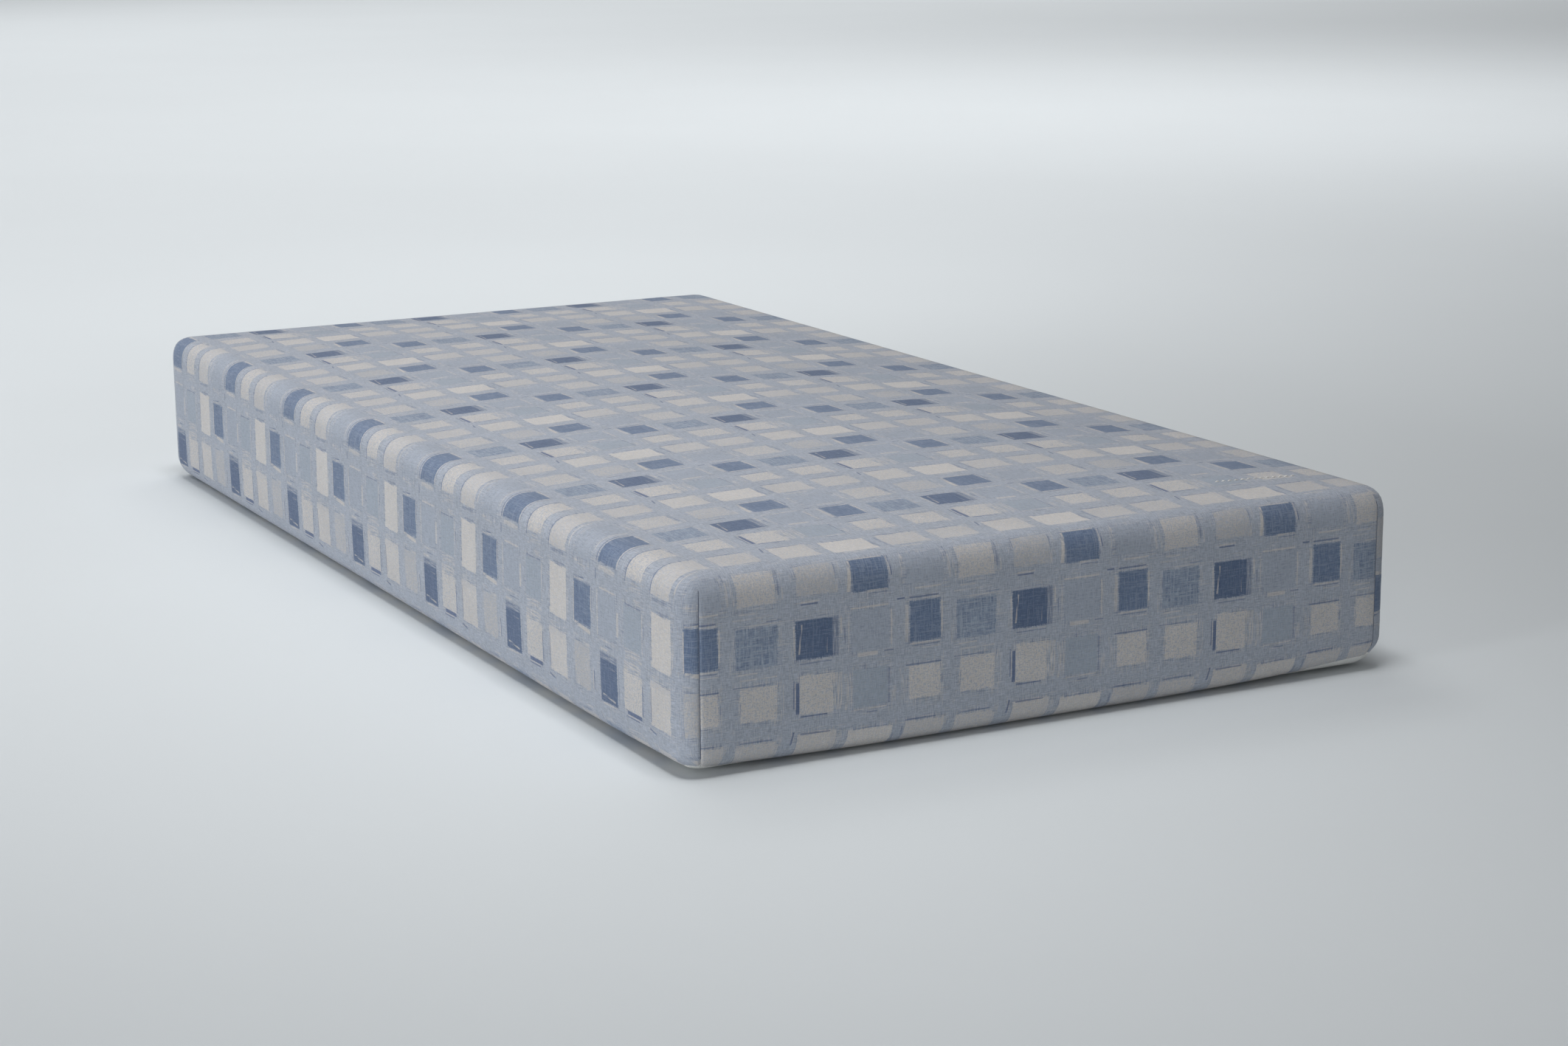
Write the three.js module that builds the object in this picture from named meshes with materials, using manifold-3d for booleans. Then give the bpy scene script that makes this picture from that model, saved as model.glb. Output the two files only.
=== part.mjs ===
// Memory foam mattress: three foam layers in a knitted sleeve, inside a removable zipped cover.
// Units are millimetres and +Z is up. X is the width and Y the length, with the head end at +Y
// and the foot end at -Y. Z = 0 is the underside, and the origin is the middle of the underside.

import * as THREE from 'three';
import Module from 'manifold-3d';
import { mergeVertices } from 'three/addons/utils/BufferGeometryUtils.js';

// ---- Driving dimensions: the whole mattress ----

const INCH = 25.4;
const WIDTH = 38 * INCH;
const LENGTH = 75 * INCH;
const HEIGHT = 9 * INCH;
const EDGE_RADIUS = 40;
const CORNER_RADIUS = 42;
const GAP = 0.3;

// ---- Driving dimensions: cover, sleeve and foam ----

const COVER_THICKNESS = 3;
const COVER_SIDE_ROOM = 1.5;
const SLEEVE_THICKNESS = 1.5;
const SLEEVE_SEAM_HEIGHT = 84;
const SLEEVE_SEAM_WIDTH = 1.2;
const MEMORY_FOAM_DEPTH = 50;
const TRANSITION_FOAM_DEPTH = 45;

const BASE_PANEL_INSET = 48;
const BASE_SEAM_WIDTH = 2.4;
const BASE_SEAM_RECESS = 0.5;
const CORNER_SEAM_RADIUS = 1.3;
const CORNER_SEAM_SET_IN = 0.4;
const CORNER_SEAM_TURN = 65;

// ---- Driving dimensions: the zip across the head end ----

const ZIP_HEIGHT = 55;
const ZIP_LENGTH = 840;
const ZIP_SLOT_WIDTH = 14;
const ZIP_STOP_LENGTH = 3.6;
const TAPE_OVERHANG = 10;
const TAPE_THICKNESS = 0.7;
const TAPE_INNER = 3.6;
const TAPE_OUTER = 14;
const COIL_INNER = 0.7;
const COIL_OUTER = 3.3;
const COIL_DEPTH = 2.4;

const SLIDER_LENGTH = 11;
const SLIDER_WIDTH = 9.5;
const SLIDER_CORNER = 2;
const SLIDER_POST_WIDTH = 0.7;
const SLIDER_POST_LENGTH = 4;
const SLIDER_BACK_THICKNESS = 0.8;
const SLIDER_FRONT_THICKNESS = 1;
const SLIDER_FLANGE_WIDTH = 0.75;
const SLIDER_FLANGE_DEPTH = 1.5;
const BRIDGE_LENGTH = 8.4;
const BRIDGE_WIDTH = 2.4;
const BRIDGE_LEG = 1;
const BRIDGE_BAR = 1;
const BRIDGE_CLEAR = 2.5;

const PULL_LENGTH = 24;
const PULL_WIDTH = 8;
const PULL_THICKNESS = 1.4;
const PULL_CORNER = 2.5;
const PULL_WINDOW_LENGTH = 4.7;
const PULL_WINDOW_WIDTH = 3.4;

// ---- Driving dimensions: the care label on the head end ----

const LABEL_WIDTH = 45;
const LABEL_HEIGHT = 65;
const LABEL_THICKNESS = 0.6;
const LABEL_X = -300;
const LABEL_Z = 140;

// ---- Smoothness of round shapes ----

const CORNER_SEGMENTS = 6;
const BEVEL_SEGMENTS = 6;
const BEAD_SEGMENTS = 12;
const SMALL_SEGMENTS = 4;

// ---- Derived places ----

const HEAD_FACE = LENGTH / 2;
const COVER_INNER_FACE = HEAD_FACE - COVER_THICKNESS;
const SLEEVE_OUTER_FACE = COVER_INNER_FACE - COVER_SIDE_ROOM;
const PANEL_HALF_WIDTH = WIDTH / 2 - BASE_PANEL_INSET;
const PANEL_HALF_LENGTH = LENGTH / 2 - BASE_PANEL_INSET;
const SLOT_BOTTOM = ZIP_HEIGHT - ZIP_SLOT_WIDTH / 2;
const SLOT_TOP = ZIP_HEIGHT + ZIP_SLOT_WIDTH / 2;
const SEAM_ROOM = BASE_SEAM_WIDTH + 2 * GAP;

// Depths along Y behind and in front of the zip, from the sleeve outwards.
const SLIDER_BACK_Y = SLEEVE_OUTER_FACE + GAP;
const SLIDER_CHANNEL_Y = SLIDER_BACK_Y + SLIDER_BACK_THICKNESS;
const TAPE_Y = SLIDER_CHANNEL_Y + GAP;
const COIL_Y = SLIDER_CHANNEL_Y + GAP;
const SLIDER_FRONT_Y = COIL_Y + COIL_DEPTH + GAP;
const SLIDER_TOP_Y = SLIDER_FRONT_Y + SLIDER_FRONT_THICKNESS;
const PULL_AXIS_Y = SLIDER_TOP_Y + BRIDGE_CLEAR / 2;
const SLIDER_REST_X = ZIP_LENGTH / 2 - SLIDER_LENGTH / 2 - GAP;

// ---- Solids: conversion to and from manifold-3d, which only joins and cuts ----

const wasm = await Module();
wasm.setup();

function toSolid(geometry) {
  const bare = geometry.index ? geometry.toNonIndexed() : geometry.clone();
  bare.deleteAttribute('normal');
  bare.deleteAttribute('uv');
  const merged = mergeVertices(bare, 1e-4);
  return new wasm.Manifold(new wasm.Mesh({
    numProp: 3,
    vertProperties: new Float32Array(merged.attributes.position.array),
    triVerts: new Uint32Array(merged.index.array),
  }));
}

function toGeometry(solid) {
  const mesh = solid.getMesh();
  const geometry = new THREE.BufferGeometry();
  geometry.setAttribute('position', new THREE.BufferAttribute(mesh.vertProperties, 3));
  geometry.setIndex(new THREE.BufferAttribute(mesh.triVerts, 1));
  geometry.computeVertexNormals();
  return geometry;
}

// ---- Basic shapes ----

function boxGeometry(low, high) {
  const size = high.map((value, axis) => value - low[axis]);
  const geometry = new THREE.BoxGeometry(...size);
  geometry.translate(...low.map((value, axis) => value + size[axis] / 2));
  return geometry;
}

function box(low, high) {
  return toSolid(boxGeometry(low, high));
}

function roundedRectangle(width, height, radius) {
  const [x, y] = [width / 2, height / 2];
  const shape = new THREE.Shape();
  shape.moveTo(-x + radius, -y);
  shape.lineTo(x - radius, -y);
  shape.absarc(x - radius, -y + radius, radius, -Math.PI / 2, 0);
  shape.lineTo(x, y - radius);
  shape.absarc(x - radius, y - radius, radius, 0, Math.PI / 2);
  shape.lineTo(-x + radius, y);
  shape.absarc(-x + radius, y - radius, radius, Math.PI / 2, Math.PI);
  shape.lineTo(-x, -y + radius);
  shape.absarc(-x + radius, -y + radius, radius, Math.PI, 1.5 * Math.PI);
  return shape;
}

// The mattress shape, made smaller by inset on every side and by rise at the top and underside.
function mattressBlock(inset, rise) {
  const edge = EDGE_RADIUS - inset;
  const outline = roundedRectangle(
    WIDTH - 2 * EDGE_RADIUS,
    LENGTH - 2 * EDGE_RADIUS,
    CORNER_RADIUS - EDGE_RADIUS,
  );
  const geometry = new THREE.ExtrudeGeometry(outline, {
    depth: HEIGHT - 2 * rise - 2 * edge,
    bevelThickness: edge,
    bevelSize: edge,
    bevelSegments: BEVEL_SEGMENTS,
    curveSegments: CORNER_SEGMENTS,
  });
  geometry.translate(0, 0, rise + edge);
  return toSolid(geometry);
}

function shell(outerInset, outerRise, thickness) {
  const outer = mattressBlock(outerInset, outerRise);
  return outer.subtract(mattressBlock(outerInset + thickness, outerRise + thickness));
}

function sliceBetween(solid, low, high) {
  return solid.intersect(box([-WIDTH, -LENGTH, low], [WIDTH, LENGTH, high]));
}

// A flat plate facing +Y, rounded at its corners, centred at (x, z), from y towards the outside.
function headPlate(shape, y, thickness, x, z) {
  const geometry = new THREE.ExtrudeGeometry(shape, {
    depth: thickness,
    bevelEnabled: false,
    curveSegments: SMALL_SEGMENTS,
  });
  geometry.rotateX(Math.PI / 2);
  geometry.translate(x, y + thickness, z);
  return geometry;
}

// A box beside the zip: x and y as given, and z measured from the middle of the zip.
function zipBox(xLow, xHigh, yLow, yHigh, fromMiddle, toMiddle) {
  const [low, high] = [fromMiddle, toMiddle].sort((a, b) => a - b);
  return boxGeometry([xLow, yLow, ZIP_HEIGHT + low], [xHigh, yHigh, ZIP_HEIGHT + high]);
}

// ---- The object ----

const mattress = new THREE.Group();

function addPart(name, geometry, color, roughness, metalness = 0) {
  const mesh = new THREE.Mesh(geometry, new THREE.MeshStandardMaterial({ color, roughness, metalness }));
  mesh.name = name;
  mattress.add(mesh);
  return mesh;
}

// ---- Foam core: three glued layers, from the top down ----

const SLEEVE_RISE = COVER_THICKNESS + GAP;
const SLEEVE_INSET = COVER_THICKNESS + COVER_SIDE_ROOM;
const FOAM_RISE = SLEEVE_RISE + SLEEVE_THICKNESS + GAP;
const FOAM_INSET = SLEEVE_INSET + SLEEVE_THICKNESS + GAP;

function addFoamLayers() {
  const core = mattressBlock(FOAM_INSET, FOAM_RISE);
  const memoryBottom = HEIGHT - FOAM_RISE - MEMORY_FOAM_DEPTH;
  const transitionTop = memoryBottom - GAP;
  const transitionBottom = transitionTop - TRANSITION_FOAM_DEPTH;
  const baseTop = transitionBottom - GAP;
  addPart('memory_foam', toGeometry(sliceBetween(core, memoryBottom, HEIGHT)), 0xe9e2c9, 0.9);
  addPart('transition_foam', toGeometry(sliceBetween(core, transitionBottom, transitionTop)), 0xbcd3dd, 0.9);
  addPart('base_foam', toGeometry(sliceBetween(core, 0, baseTop)), 0xf1efe8, 0.9);
}

// ---- Inner sleeve: an upper and a lower half, joined by an overlocked seam ----

function addSleeve() {
  const skin = shell(SLEEVE_INSET, SLEEVE_RISE, SLEEVE_THICKNESS);
  const seamLow = SLEEVE_SEAM_HEIGHT - SLEEVE_SEAM_WIDTH / 2;
  const seamHigh = SLEEVE_SEAM_HEIGHT + SLEEVE_SEAM_WIDTH / 2;
  addPart('sleeve_upper', toGeometry(sliceBetween(skin, seamHigh + GAP, HEIGHT)), 0xf4f4f0, 0.95);
  addPart('sleeve_lower', toGeometry(sliceBetween(skin, 0, seamLow - GAP)), 0xf4f4f0, 0.95);
  addPart('sleeve_seam', toGeometry(sliceBetween(skin, seamLow, seamHigh)), 0xdadad4, 0.95);
}

// ---- Cover ----

// The stretch of cover that belongs to the base: the panel underneath, and the strip of the
// head end below the zip. Growing it gives the room for the seam around it.
function baseRegion(grow, headTop) {
  const halfWidth = PANEL_HALF_WIDTH + grow;
  const foot = -PANEL_HALF_LENGTH - grow;
  const panel = box([-halfWidth, foot, -1], [halfWidth, PANEL_HALF_LENGTH, COVER_THICKNESS + 1]);
  const strip = box([-halfWidth, PANEL_HALF_LENGTH - 1, -1], [halfWidth, LENGTH, headTop]);
  return panel.add(strip);
}

// The room behind the edge of the cover that a zip tape lies in, above or below the slot.
function tapeRoom(side) {
  const halfLength = ZIP_LENGTH / 2 + TAPE_OVERHANG + GAP;
  const back = COVER_INNER_FACE - COVER_SIDE_ROOM;
  const front = TAPE_Y + TAPE_THICKNESS + GAP;
  return toSolid(zipBox(-halfLength, halfLength, back, front, 0, side * (TAPE_OUTER + GAP)));
}

// An upright bead on the rounded corner. It sits CORNER_SEAM_TURN degrees round from the long side.
function cornerSeamCylinder(radius, low, high, sideX, sideY) {
  const reach = CORNER_RADIUS - CORNER_SEAM_SET_IN;
  const turn = THREE.MathUtils.degToRad(CORNER_SEAM_TURN);
  const geometry = new THREE.CylinderGeometry(radius, radius, high - low, BEAD_SEGMENTS);
  geometry.rotateX(Math.PI / 2);
  geometry.translate(
    sideX * (WIDTH / 2 - CORNER_RADIUS + reach * Math.cos(turn)),
    sideY * (LENGTH / 2 - CORNER_RADIUS + reach * Math.sin(turn)),
    (low + high) / 2,
  );
  return geometry;
}

function addCover() {
  const skin = shell(0, 0, COVER_THICKNESS);
  const seamLow = EDGE_RADIUS;
  const seamHigh = HEIGHT - EDGE_RADIUS;
  let top = skin.subtract(baseRegion(SEAM_ROOM, SLOT_TOP)).subtract(tapeRoom(1));
  for (const [sideX, across] of [[-1, 'left'], [1, 'right']]) {
    for (const [sideY, along] of [[-1, 'foot'], [1, 'head']]) {
      const groove = cornerSeamCylinder(CORNER_SEAM_RADIUS + GAP, seamLow - GAP, seamHigh + GAP, sideX, sideY);
      top = top.subtract(toSolid(groove));
      const bead = cornerSeamCylinder(CORNER_SEAM_RADIUS, seamLow, seamHigh, sideX, sideY);
      addPart(`corner_seam_${along}_${across}`, bead, 0x5f6b80, 0.9);
    }
  }
  const base = skin.intersect(baseRegion(0, SLOT_BOTTOM)).subtract(tapeRoom(-1));
  const seamSkin = shell(BASE_SEAM_RECESS, BASE_SEAM_RECESS, COVER_THICKNESS - BASE_SEAM_RECESS);
  const seam = seamSkin
    .intersect(baseRegion(GAP + BASE_SEAM_WIDTH, SLOT_BOTTOM))
    .subtract(baseRegion(GAP, SLOT_TOP));
  addPart('top_cover', toGeometry(top), 0x9aa6b8, 0.85);
  addPart('base_cover', toGeometry(base), 0x6f7886, 0.85);
  addPart('base_seam', toGeometry(seam), 0x4f5766, 0.9);
}

// ---- Zip: tapes, coils and stops stay with the cover ----

function addZipSides() {
  const half = ZIP_LENGTH / 2;
  const tapeEnd = half + TAPE_OVERHANG;
  const tapeFront = TAPE_Y + TAPE_THICKNESS;
  const coilFront = COIL_Y + COIL_DEPTH;
  for (const [side, place] of [[1, 'upper'], [-1, 'lower']]) {
    const tape = zipBox(-tapeEnd, tapeEnd, TAPE_Y, tapeFront, side * TAPE_INNER, side * TAPE_OUTER);
    const coil = zipBox(-half, half, COIL_Y, coilFront, side * COIL_INNER, side * COIL_OUTER);
    const stop = zipBox(
      half + GAP, half + GAP + ZIP_STOP_LENGTH, COIL_Y, coilFront, side * COIL_INNER, side * COIL_OUTER,
    );
    addPart(`zip_tape_${place}`, tape, 0x5a6476, 0.9);
    addPart(`zip_coil_${place}`, coil, 0x6b7484, 0.5);
    addPart(`zip_top_stop_${place}`, stop, 0xa9adb3, 0.35, 0.9);
  }
  const bottomStop = zipBox(
    -half - GAP - ZIP_STOP_LENGTH, -half - GAP, COIL_Y, coilFront, -COIL_OUTER, COIL_OUTER,
  );
  addPart('zip_bottom_stop', bottomStop, 0xa9adb3, 0.35, 0.9);
}

// ---- Zip slider: two plates joined by a post between the coils, with a bridge for the pull ----

function addSlider() {
  const plate = roundedRectangle(SLIDER_LENGTH, SLIDER_WIDTH, SLIDER_CORNER);
  const backPlate = headPlate(plate, SLIDER_BACK_Y, SLIDER_BACK_THICKNESS, SLIDER_REST_X, ZIP_HEIGHT);
  const frontPlate = headPlate(plate, SLIDER_FRONT_Y, SLIDER_FRONT_THICKNESS, SLIDER_REST_X, ZIP_HEIGHT);
  const half = SLIDER_LENGTH / 2;
  const nose = SLIDER_REST_X + half - SLIDER_CORNER;
  const post = zipBox(
    nose - SLIDER_POST_LENGTH, nose, SLIDER_BACK_Y, SLIDER_TOP_Y,
    -SLIDER_POST_WIDTH / 2, SLIDER_POST_WIDTH / 2,
  );
  let slider = toSolid(backPlate).add(toSolid(frontPlate)).add(toSolid(post));
  const flangeOuter = SLIDER_WIDTH / 2;
  const flangeInner = flangeOuter - SLIDER_FLANGE_WIDTH;
  const flangeHalf = half - SLIDER_CORNER;
  for (const side of [-1, 1]) {
    const flange = zipBox(
      SLIDER_REST_X - flangeHalf, SLIDER_REST_X + flangeHalf,
      SLIDER_FRONT_Y - SLIDER_FLANGE_DEPTH, SLIDER_TOP_Y,
      side * flangeInner, side * flangeOuter,
    );
    slider = slider.add(toSolid(flange));
  }
  const bridgeTop = SLIDER_TOP_Y + BRIDGE_CLEAR + BRIDGE_BAR;
  const bridgeHalf = BRIDGE_LENGTH / 2;
  const arch = zipBox(
    SLIDER_REST_X - bridgeHalf, SLIDER_REST_X + bridgeHalf, SLIDER_FRONT_Y, bridgeTop,
    -BRIDGE_WIDTH / 2, BRIDGE_WIDTH / 2,
  );
  const underArch = zipBox(
    SLIDER_REST_X - bridgeHalf + BRIDGE_LEG, SLIDER_REST_X + bridgeHalf - BRIDGE_LEG,
    SLIDER_TOP_Y, bridgeTop - BRIDGE_BAR, -BRIDGE_WIDTH, BRIDGE_WIDTH,
  );
  slider = slider.add(toSolid(arch).subtract(toSolid(underArch)));
  addPart('zip_slider', toGeometry(slider), 0xa9adb3, 0.35, 0.9);
}

// The pull lies flat at rest and points to +X. Its eye bar turns under the bridge of the slider.
function addPull() {
  const barHalf = PULL_THICKNESS / 2;
  const middle = SLIDER_REST_X - barHalf + PULL_LENGTH / 2;
  const outline = roundedRectangle(PULL_LENGTH, PULL_WIDTH, PULL_CORNER);
  const plate = headPlate(outline, PULL_AXIS_Y - barHalf, PULL_THICKNESS, middle, ZIP_HEIGHT);
  const windowStart = SLIDER_REST_X + barHalf;
  const eye = zipBox(
    windowStart, windowStart + PULL_WINDOW_LENGTH,
    PULL_AXIS_Y - PULL_THICKNESS, PULL_AXIS_Y + PULL_THICKNESS,
    -PULL_WINDOW_WIDTH / 2, PULL_WINDOW_WIDTH / 2,
  );
  addPart('zip_pull', toGeometry(toSolid(plate).subtract(toSolid(eye))), 0xa9adb3, 0.35, 0.9);
}

// ---- Care label, blank, on the head end ----

function addLabel() {
  const face = HEAD_FACE + GAP;
  const low = [LABEL_X - LABEL_WIDTH / 2, face, LABEL_Z - LABEL_HEIGHT / 2];
  const high = [LABEL_X + LABEL_WIDTH / 2, face + LABEL_THICKNESS, LABEL_Z + LABEL_HEIGHT / 2];
  addPart('care_label', boxGeometry(low, high), 0xf2f1ec, 0.8);
}

addFoamLayers();
addSleeve();
addCover();
addZipSides();
addSlider();
addPull();
addLabel();

export default mattress;
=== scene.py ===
"""Looks for the memory foam mattress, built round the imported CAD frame. Metres, +Z up."""

import math

import bmesh
import bpy
import numpy as np
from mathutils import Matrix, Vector
from mathutils.bvhtree import BVHTree
from mathutils.kdtree import KDTree


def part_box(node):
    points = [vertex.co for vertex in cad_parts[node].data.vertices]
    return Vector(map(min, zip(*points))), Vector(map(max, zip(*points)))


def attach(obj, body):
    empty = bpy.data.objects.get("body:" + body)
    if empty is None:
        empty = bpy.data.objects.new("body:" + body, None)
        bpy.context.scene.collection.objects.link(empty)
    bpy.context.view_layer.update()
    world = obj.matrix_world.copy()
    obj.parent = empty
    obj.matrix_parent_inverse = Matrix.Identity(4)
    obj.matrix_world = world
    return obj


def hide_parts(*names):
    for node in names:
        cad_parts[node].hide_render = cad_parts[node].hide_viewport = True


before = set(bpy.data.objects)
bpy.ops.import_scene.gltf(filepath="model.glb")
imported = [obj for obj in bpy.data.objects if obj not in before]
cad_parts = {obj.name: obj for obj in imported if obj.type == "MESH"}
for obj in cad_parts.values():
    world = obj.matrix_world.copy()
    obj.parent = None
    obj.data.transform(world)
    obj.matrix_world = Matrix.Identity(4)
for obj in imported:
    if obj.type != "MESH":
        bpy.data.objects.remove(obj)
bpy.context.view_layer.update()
MM = 0.001

# ---------------------------------------------------------------------------
# The mattress shape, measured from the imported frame
# ---------------------------------------------------------------------------

_, cover_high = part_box("top_cover")
_, sleeve_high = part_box("sleeve_upper")
_, foam_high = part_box("memory_foam")
base_low, base_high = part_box("base_cover")
tape_low, tape_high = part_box("zip_tape_upper")
under_tape_low, under_tape_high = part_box("zip_tape_lower")

HALF_WIDTH = cover_high.x
HALF_LENGTH = cover_high.y
HEIGHT = cover_high.z
EDGE_RADIUS = 40 * MM
CORNER_RADIUS = 42 * MM
SEAM_TURN = math.radians(65)
SQUARENESS = 3.0
SQUARE_ABOVE = 30 * MM
UNDER_SQUARENESS = 2.5

BASE_HALF_WIDTH = base_high.x
BASE_FOOT = base_low.y
BASE_STRIP_TOP = base_high.z
SEAM_ROOM = 3 * MM
SLOT_TOP = BASE_STRIP_TOP + 14 * MM
SLOT_HALF_LENGTH = BASE_HALF_WIDTH + SEAM_ROOM

ENDS = {"foot": -math.pi / 2, "head": math.pi / 2}
SIDES = {"right": 0.0, "left": math.pi}


# ---------------------------------------------------------------------------
# Meshes
# ---------------------------------------------------------------------------

def make_object(name, points, faces, uvs=None, smooth=True):
    """A mesh object. uvs has one (u, v) for each corner of each face, in order."""
    mesh = bpy.data.meshes.new(name)
    mesh.from_pydata([tuple(p) for p in points], [], faces)
    if uvs is not None:
        layer = mesh.uv_layers.new(name="cloth")
        layer.data.foreach_set("uv", np.asarray(uvs, np.float32).ravel())
    mesh.polygons.foreach_set("use_smooth", [smooth] * len(mesh.polygons))
    mesh.update()
    piece = bpy.data.objects.new(name, mesh)
    bpy.context.scene.collection.objects.link(piece)
    return piece


def dress(piece, material, body="mattress", replaces=()):
    """Gives a piece its material, ties it to its body and hides the nodes it stands for."""
    piece.data.materials.clear()
    piece.data.materials.append(material)
    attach(piece, body)
    if replaces:
        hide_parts(*replaces)
    return piece


def merge_close(piece, distance=1e-6):
    mesh = bmesh.new()
    mesh.from_mesh(piece.data)
    bmesh.ops.remove_doubles(mesh, verts=mesh.verts, dist=distance)
    mesh.to_mesh(piece.data)
    mesh.free()


def apply_modifiers(piece):
    depsgraph = bpy.context.evaluated_depsgraph_get()
    depsgraph.update()
    mesh = bpy.data.meshes.new_from_object(piece.evaluated_get(depsgraph))
    piece.modifiers.clear()
    piece.data = mesh


def coordinates(mesh):
    values = np.empty(len(mesh.vertices) * 3)
    mesh.vertices.foreach_get("co", values)
    return values.reshape(-1, 3)


def set_coordinates(piece, points):
    piece.data.vertices.foreach_set("co", np.asarray(points).ravel())
    piece.data.update()


def tube(path, radius, sides=8, closed=False):
    """Points and faces of a tube along a path, with round ends unless it closes on itself."""
    path = np.asarray(path, float)
    if closed:
        ahead, behind = np.roll(path, -1, 0), np.roll(path, 1, 0)
    else:
        ahead = np.vstack([path[1:], 2 * path[-1] - path[-2]])
        behind = np.vstack([2 * path[0] - path[1], path[:-1]])
    along = ahead - behind
    along /= np.linalg.norm(along, axis=1)[:, None]
    helper = np.where(np.abs(along[:, 2:3]) > 0.9, [[1.0, 0, 0]], [[0, 0, 1.0]])
    first = np.cross(along, helper)
    first /= np.linalg.norm(first, axis=1)[:, None]
    second = np.cross(along, first)
    radii = np.broadcast_to(np.asarray(radius, float), (len(path),))[:, None, None]
    turn = np.linspace(0, 2 * math.pi, sides, endpoint=False)
    ring = np.cos(turn)[None, :, None] * first[:, None] + np.sin(turn)[None, :, None] * second[:, None]
    points = (path[:, None] + radii * ring).reshape(-1, 3)
    faces = []
    count = len(path)
    for i in range(count if closed else count - 1):
        here, there = i * sides, (i + 1) % count * sides
        for j in range(sides):
            k = (j + 1) % sides
            faces.append((here + j, here + k, there + k, there + j))
    if not closed:
        faces.append(tuple(reversed(range(sides))))
        faces.append(tuple(range((count - 1) * sides, count * sides)))
    return points, faces


class Parts:
    """Collects many small shapes into one mesh."""

    def __init__(self):
        self.points, self.faces, self.count = [], [], 0

    def add(self, points, faces):
        self.points.append(np.asarray(points, float))
        self.faces += [tuple(i + self.count for i in face) for face in faces]
        self.count += len(points)

    def object(self, name):
        return make_object(name, np.vstack(self.points), self.faces)


# ---------------------------------------------------------------------------
# The swept mattress surface: a flat grid on top, and rings that go down and under
# ---------------------------------------------------------------------------

def evenly(low, high, step):
    return np.linspace(low, high, max(2, round((high - low) / step) + 1))


def corner_turns(step, fine):
    """Angles across one corner, from the end's normal to the side's, close together at the seam."""
    seam = math.pi / 2 - SEAM_TURN
    turns = list(evenly(0, math.pi / 2, step))[1:-1]
    if not fine:
        return turns + [seam] if all(abs(t - seam) > 0.02 for t in turns) else turns
    near = [seam + math.radians(d) for d in (-7, -4.2, -2.6, -1.3, 0, 1.3, 2.6, 4.2, 7)]
    turns = [t for t in turns if abs(t - seam) > math.radians(9)]
    return sorted(turns + near)


def bulge(turn, power):
    """How far a bend reaches at an angle, against 1 for a plain arc. Powers over 2 are squarer."""
    return (np.abs(np.cos(turn)) ** power + np.abs(np.sin(turn)) ** power) ** (-1 / power)


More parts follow.
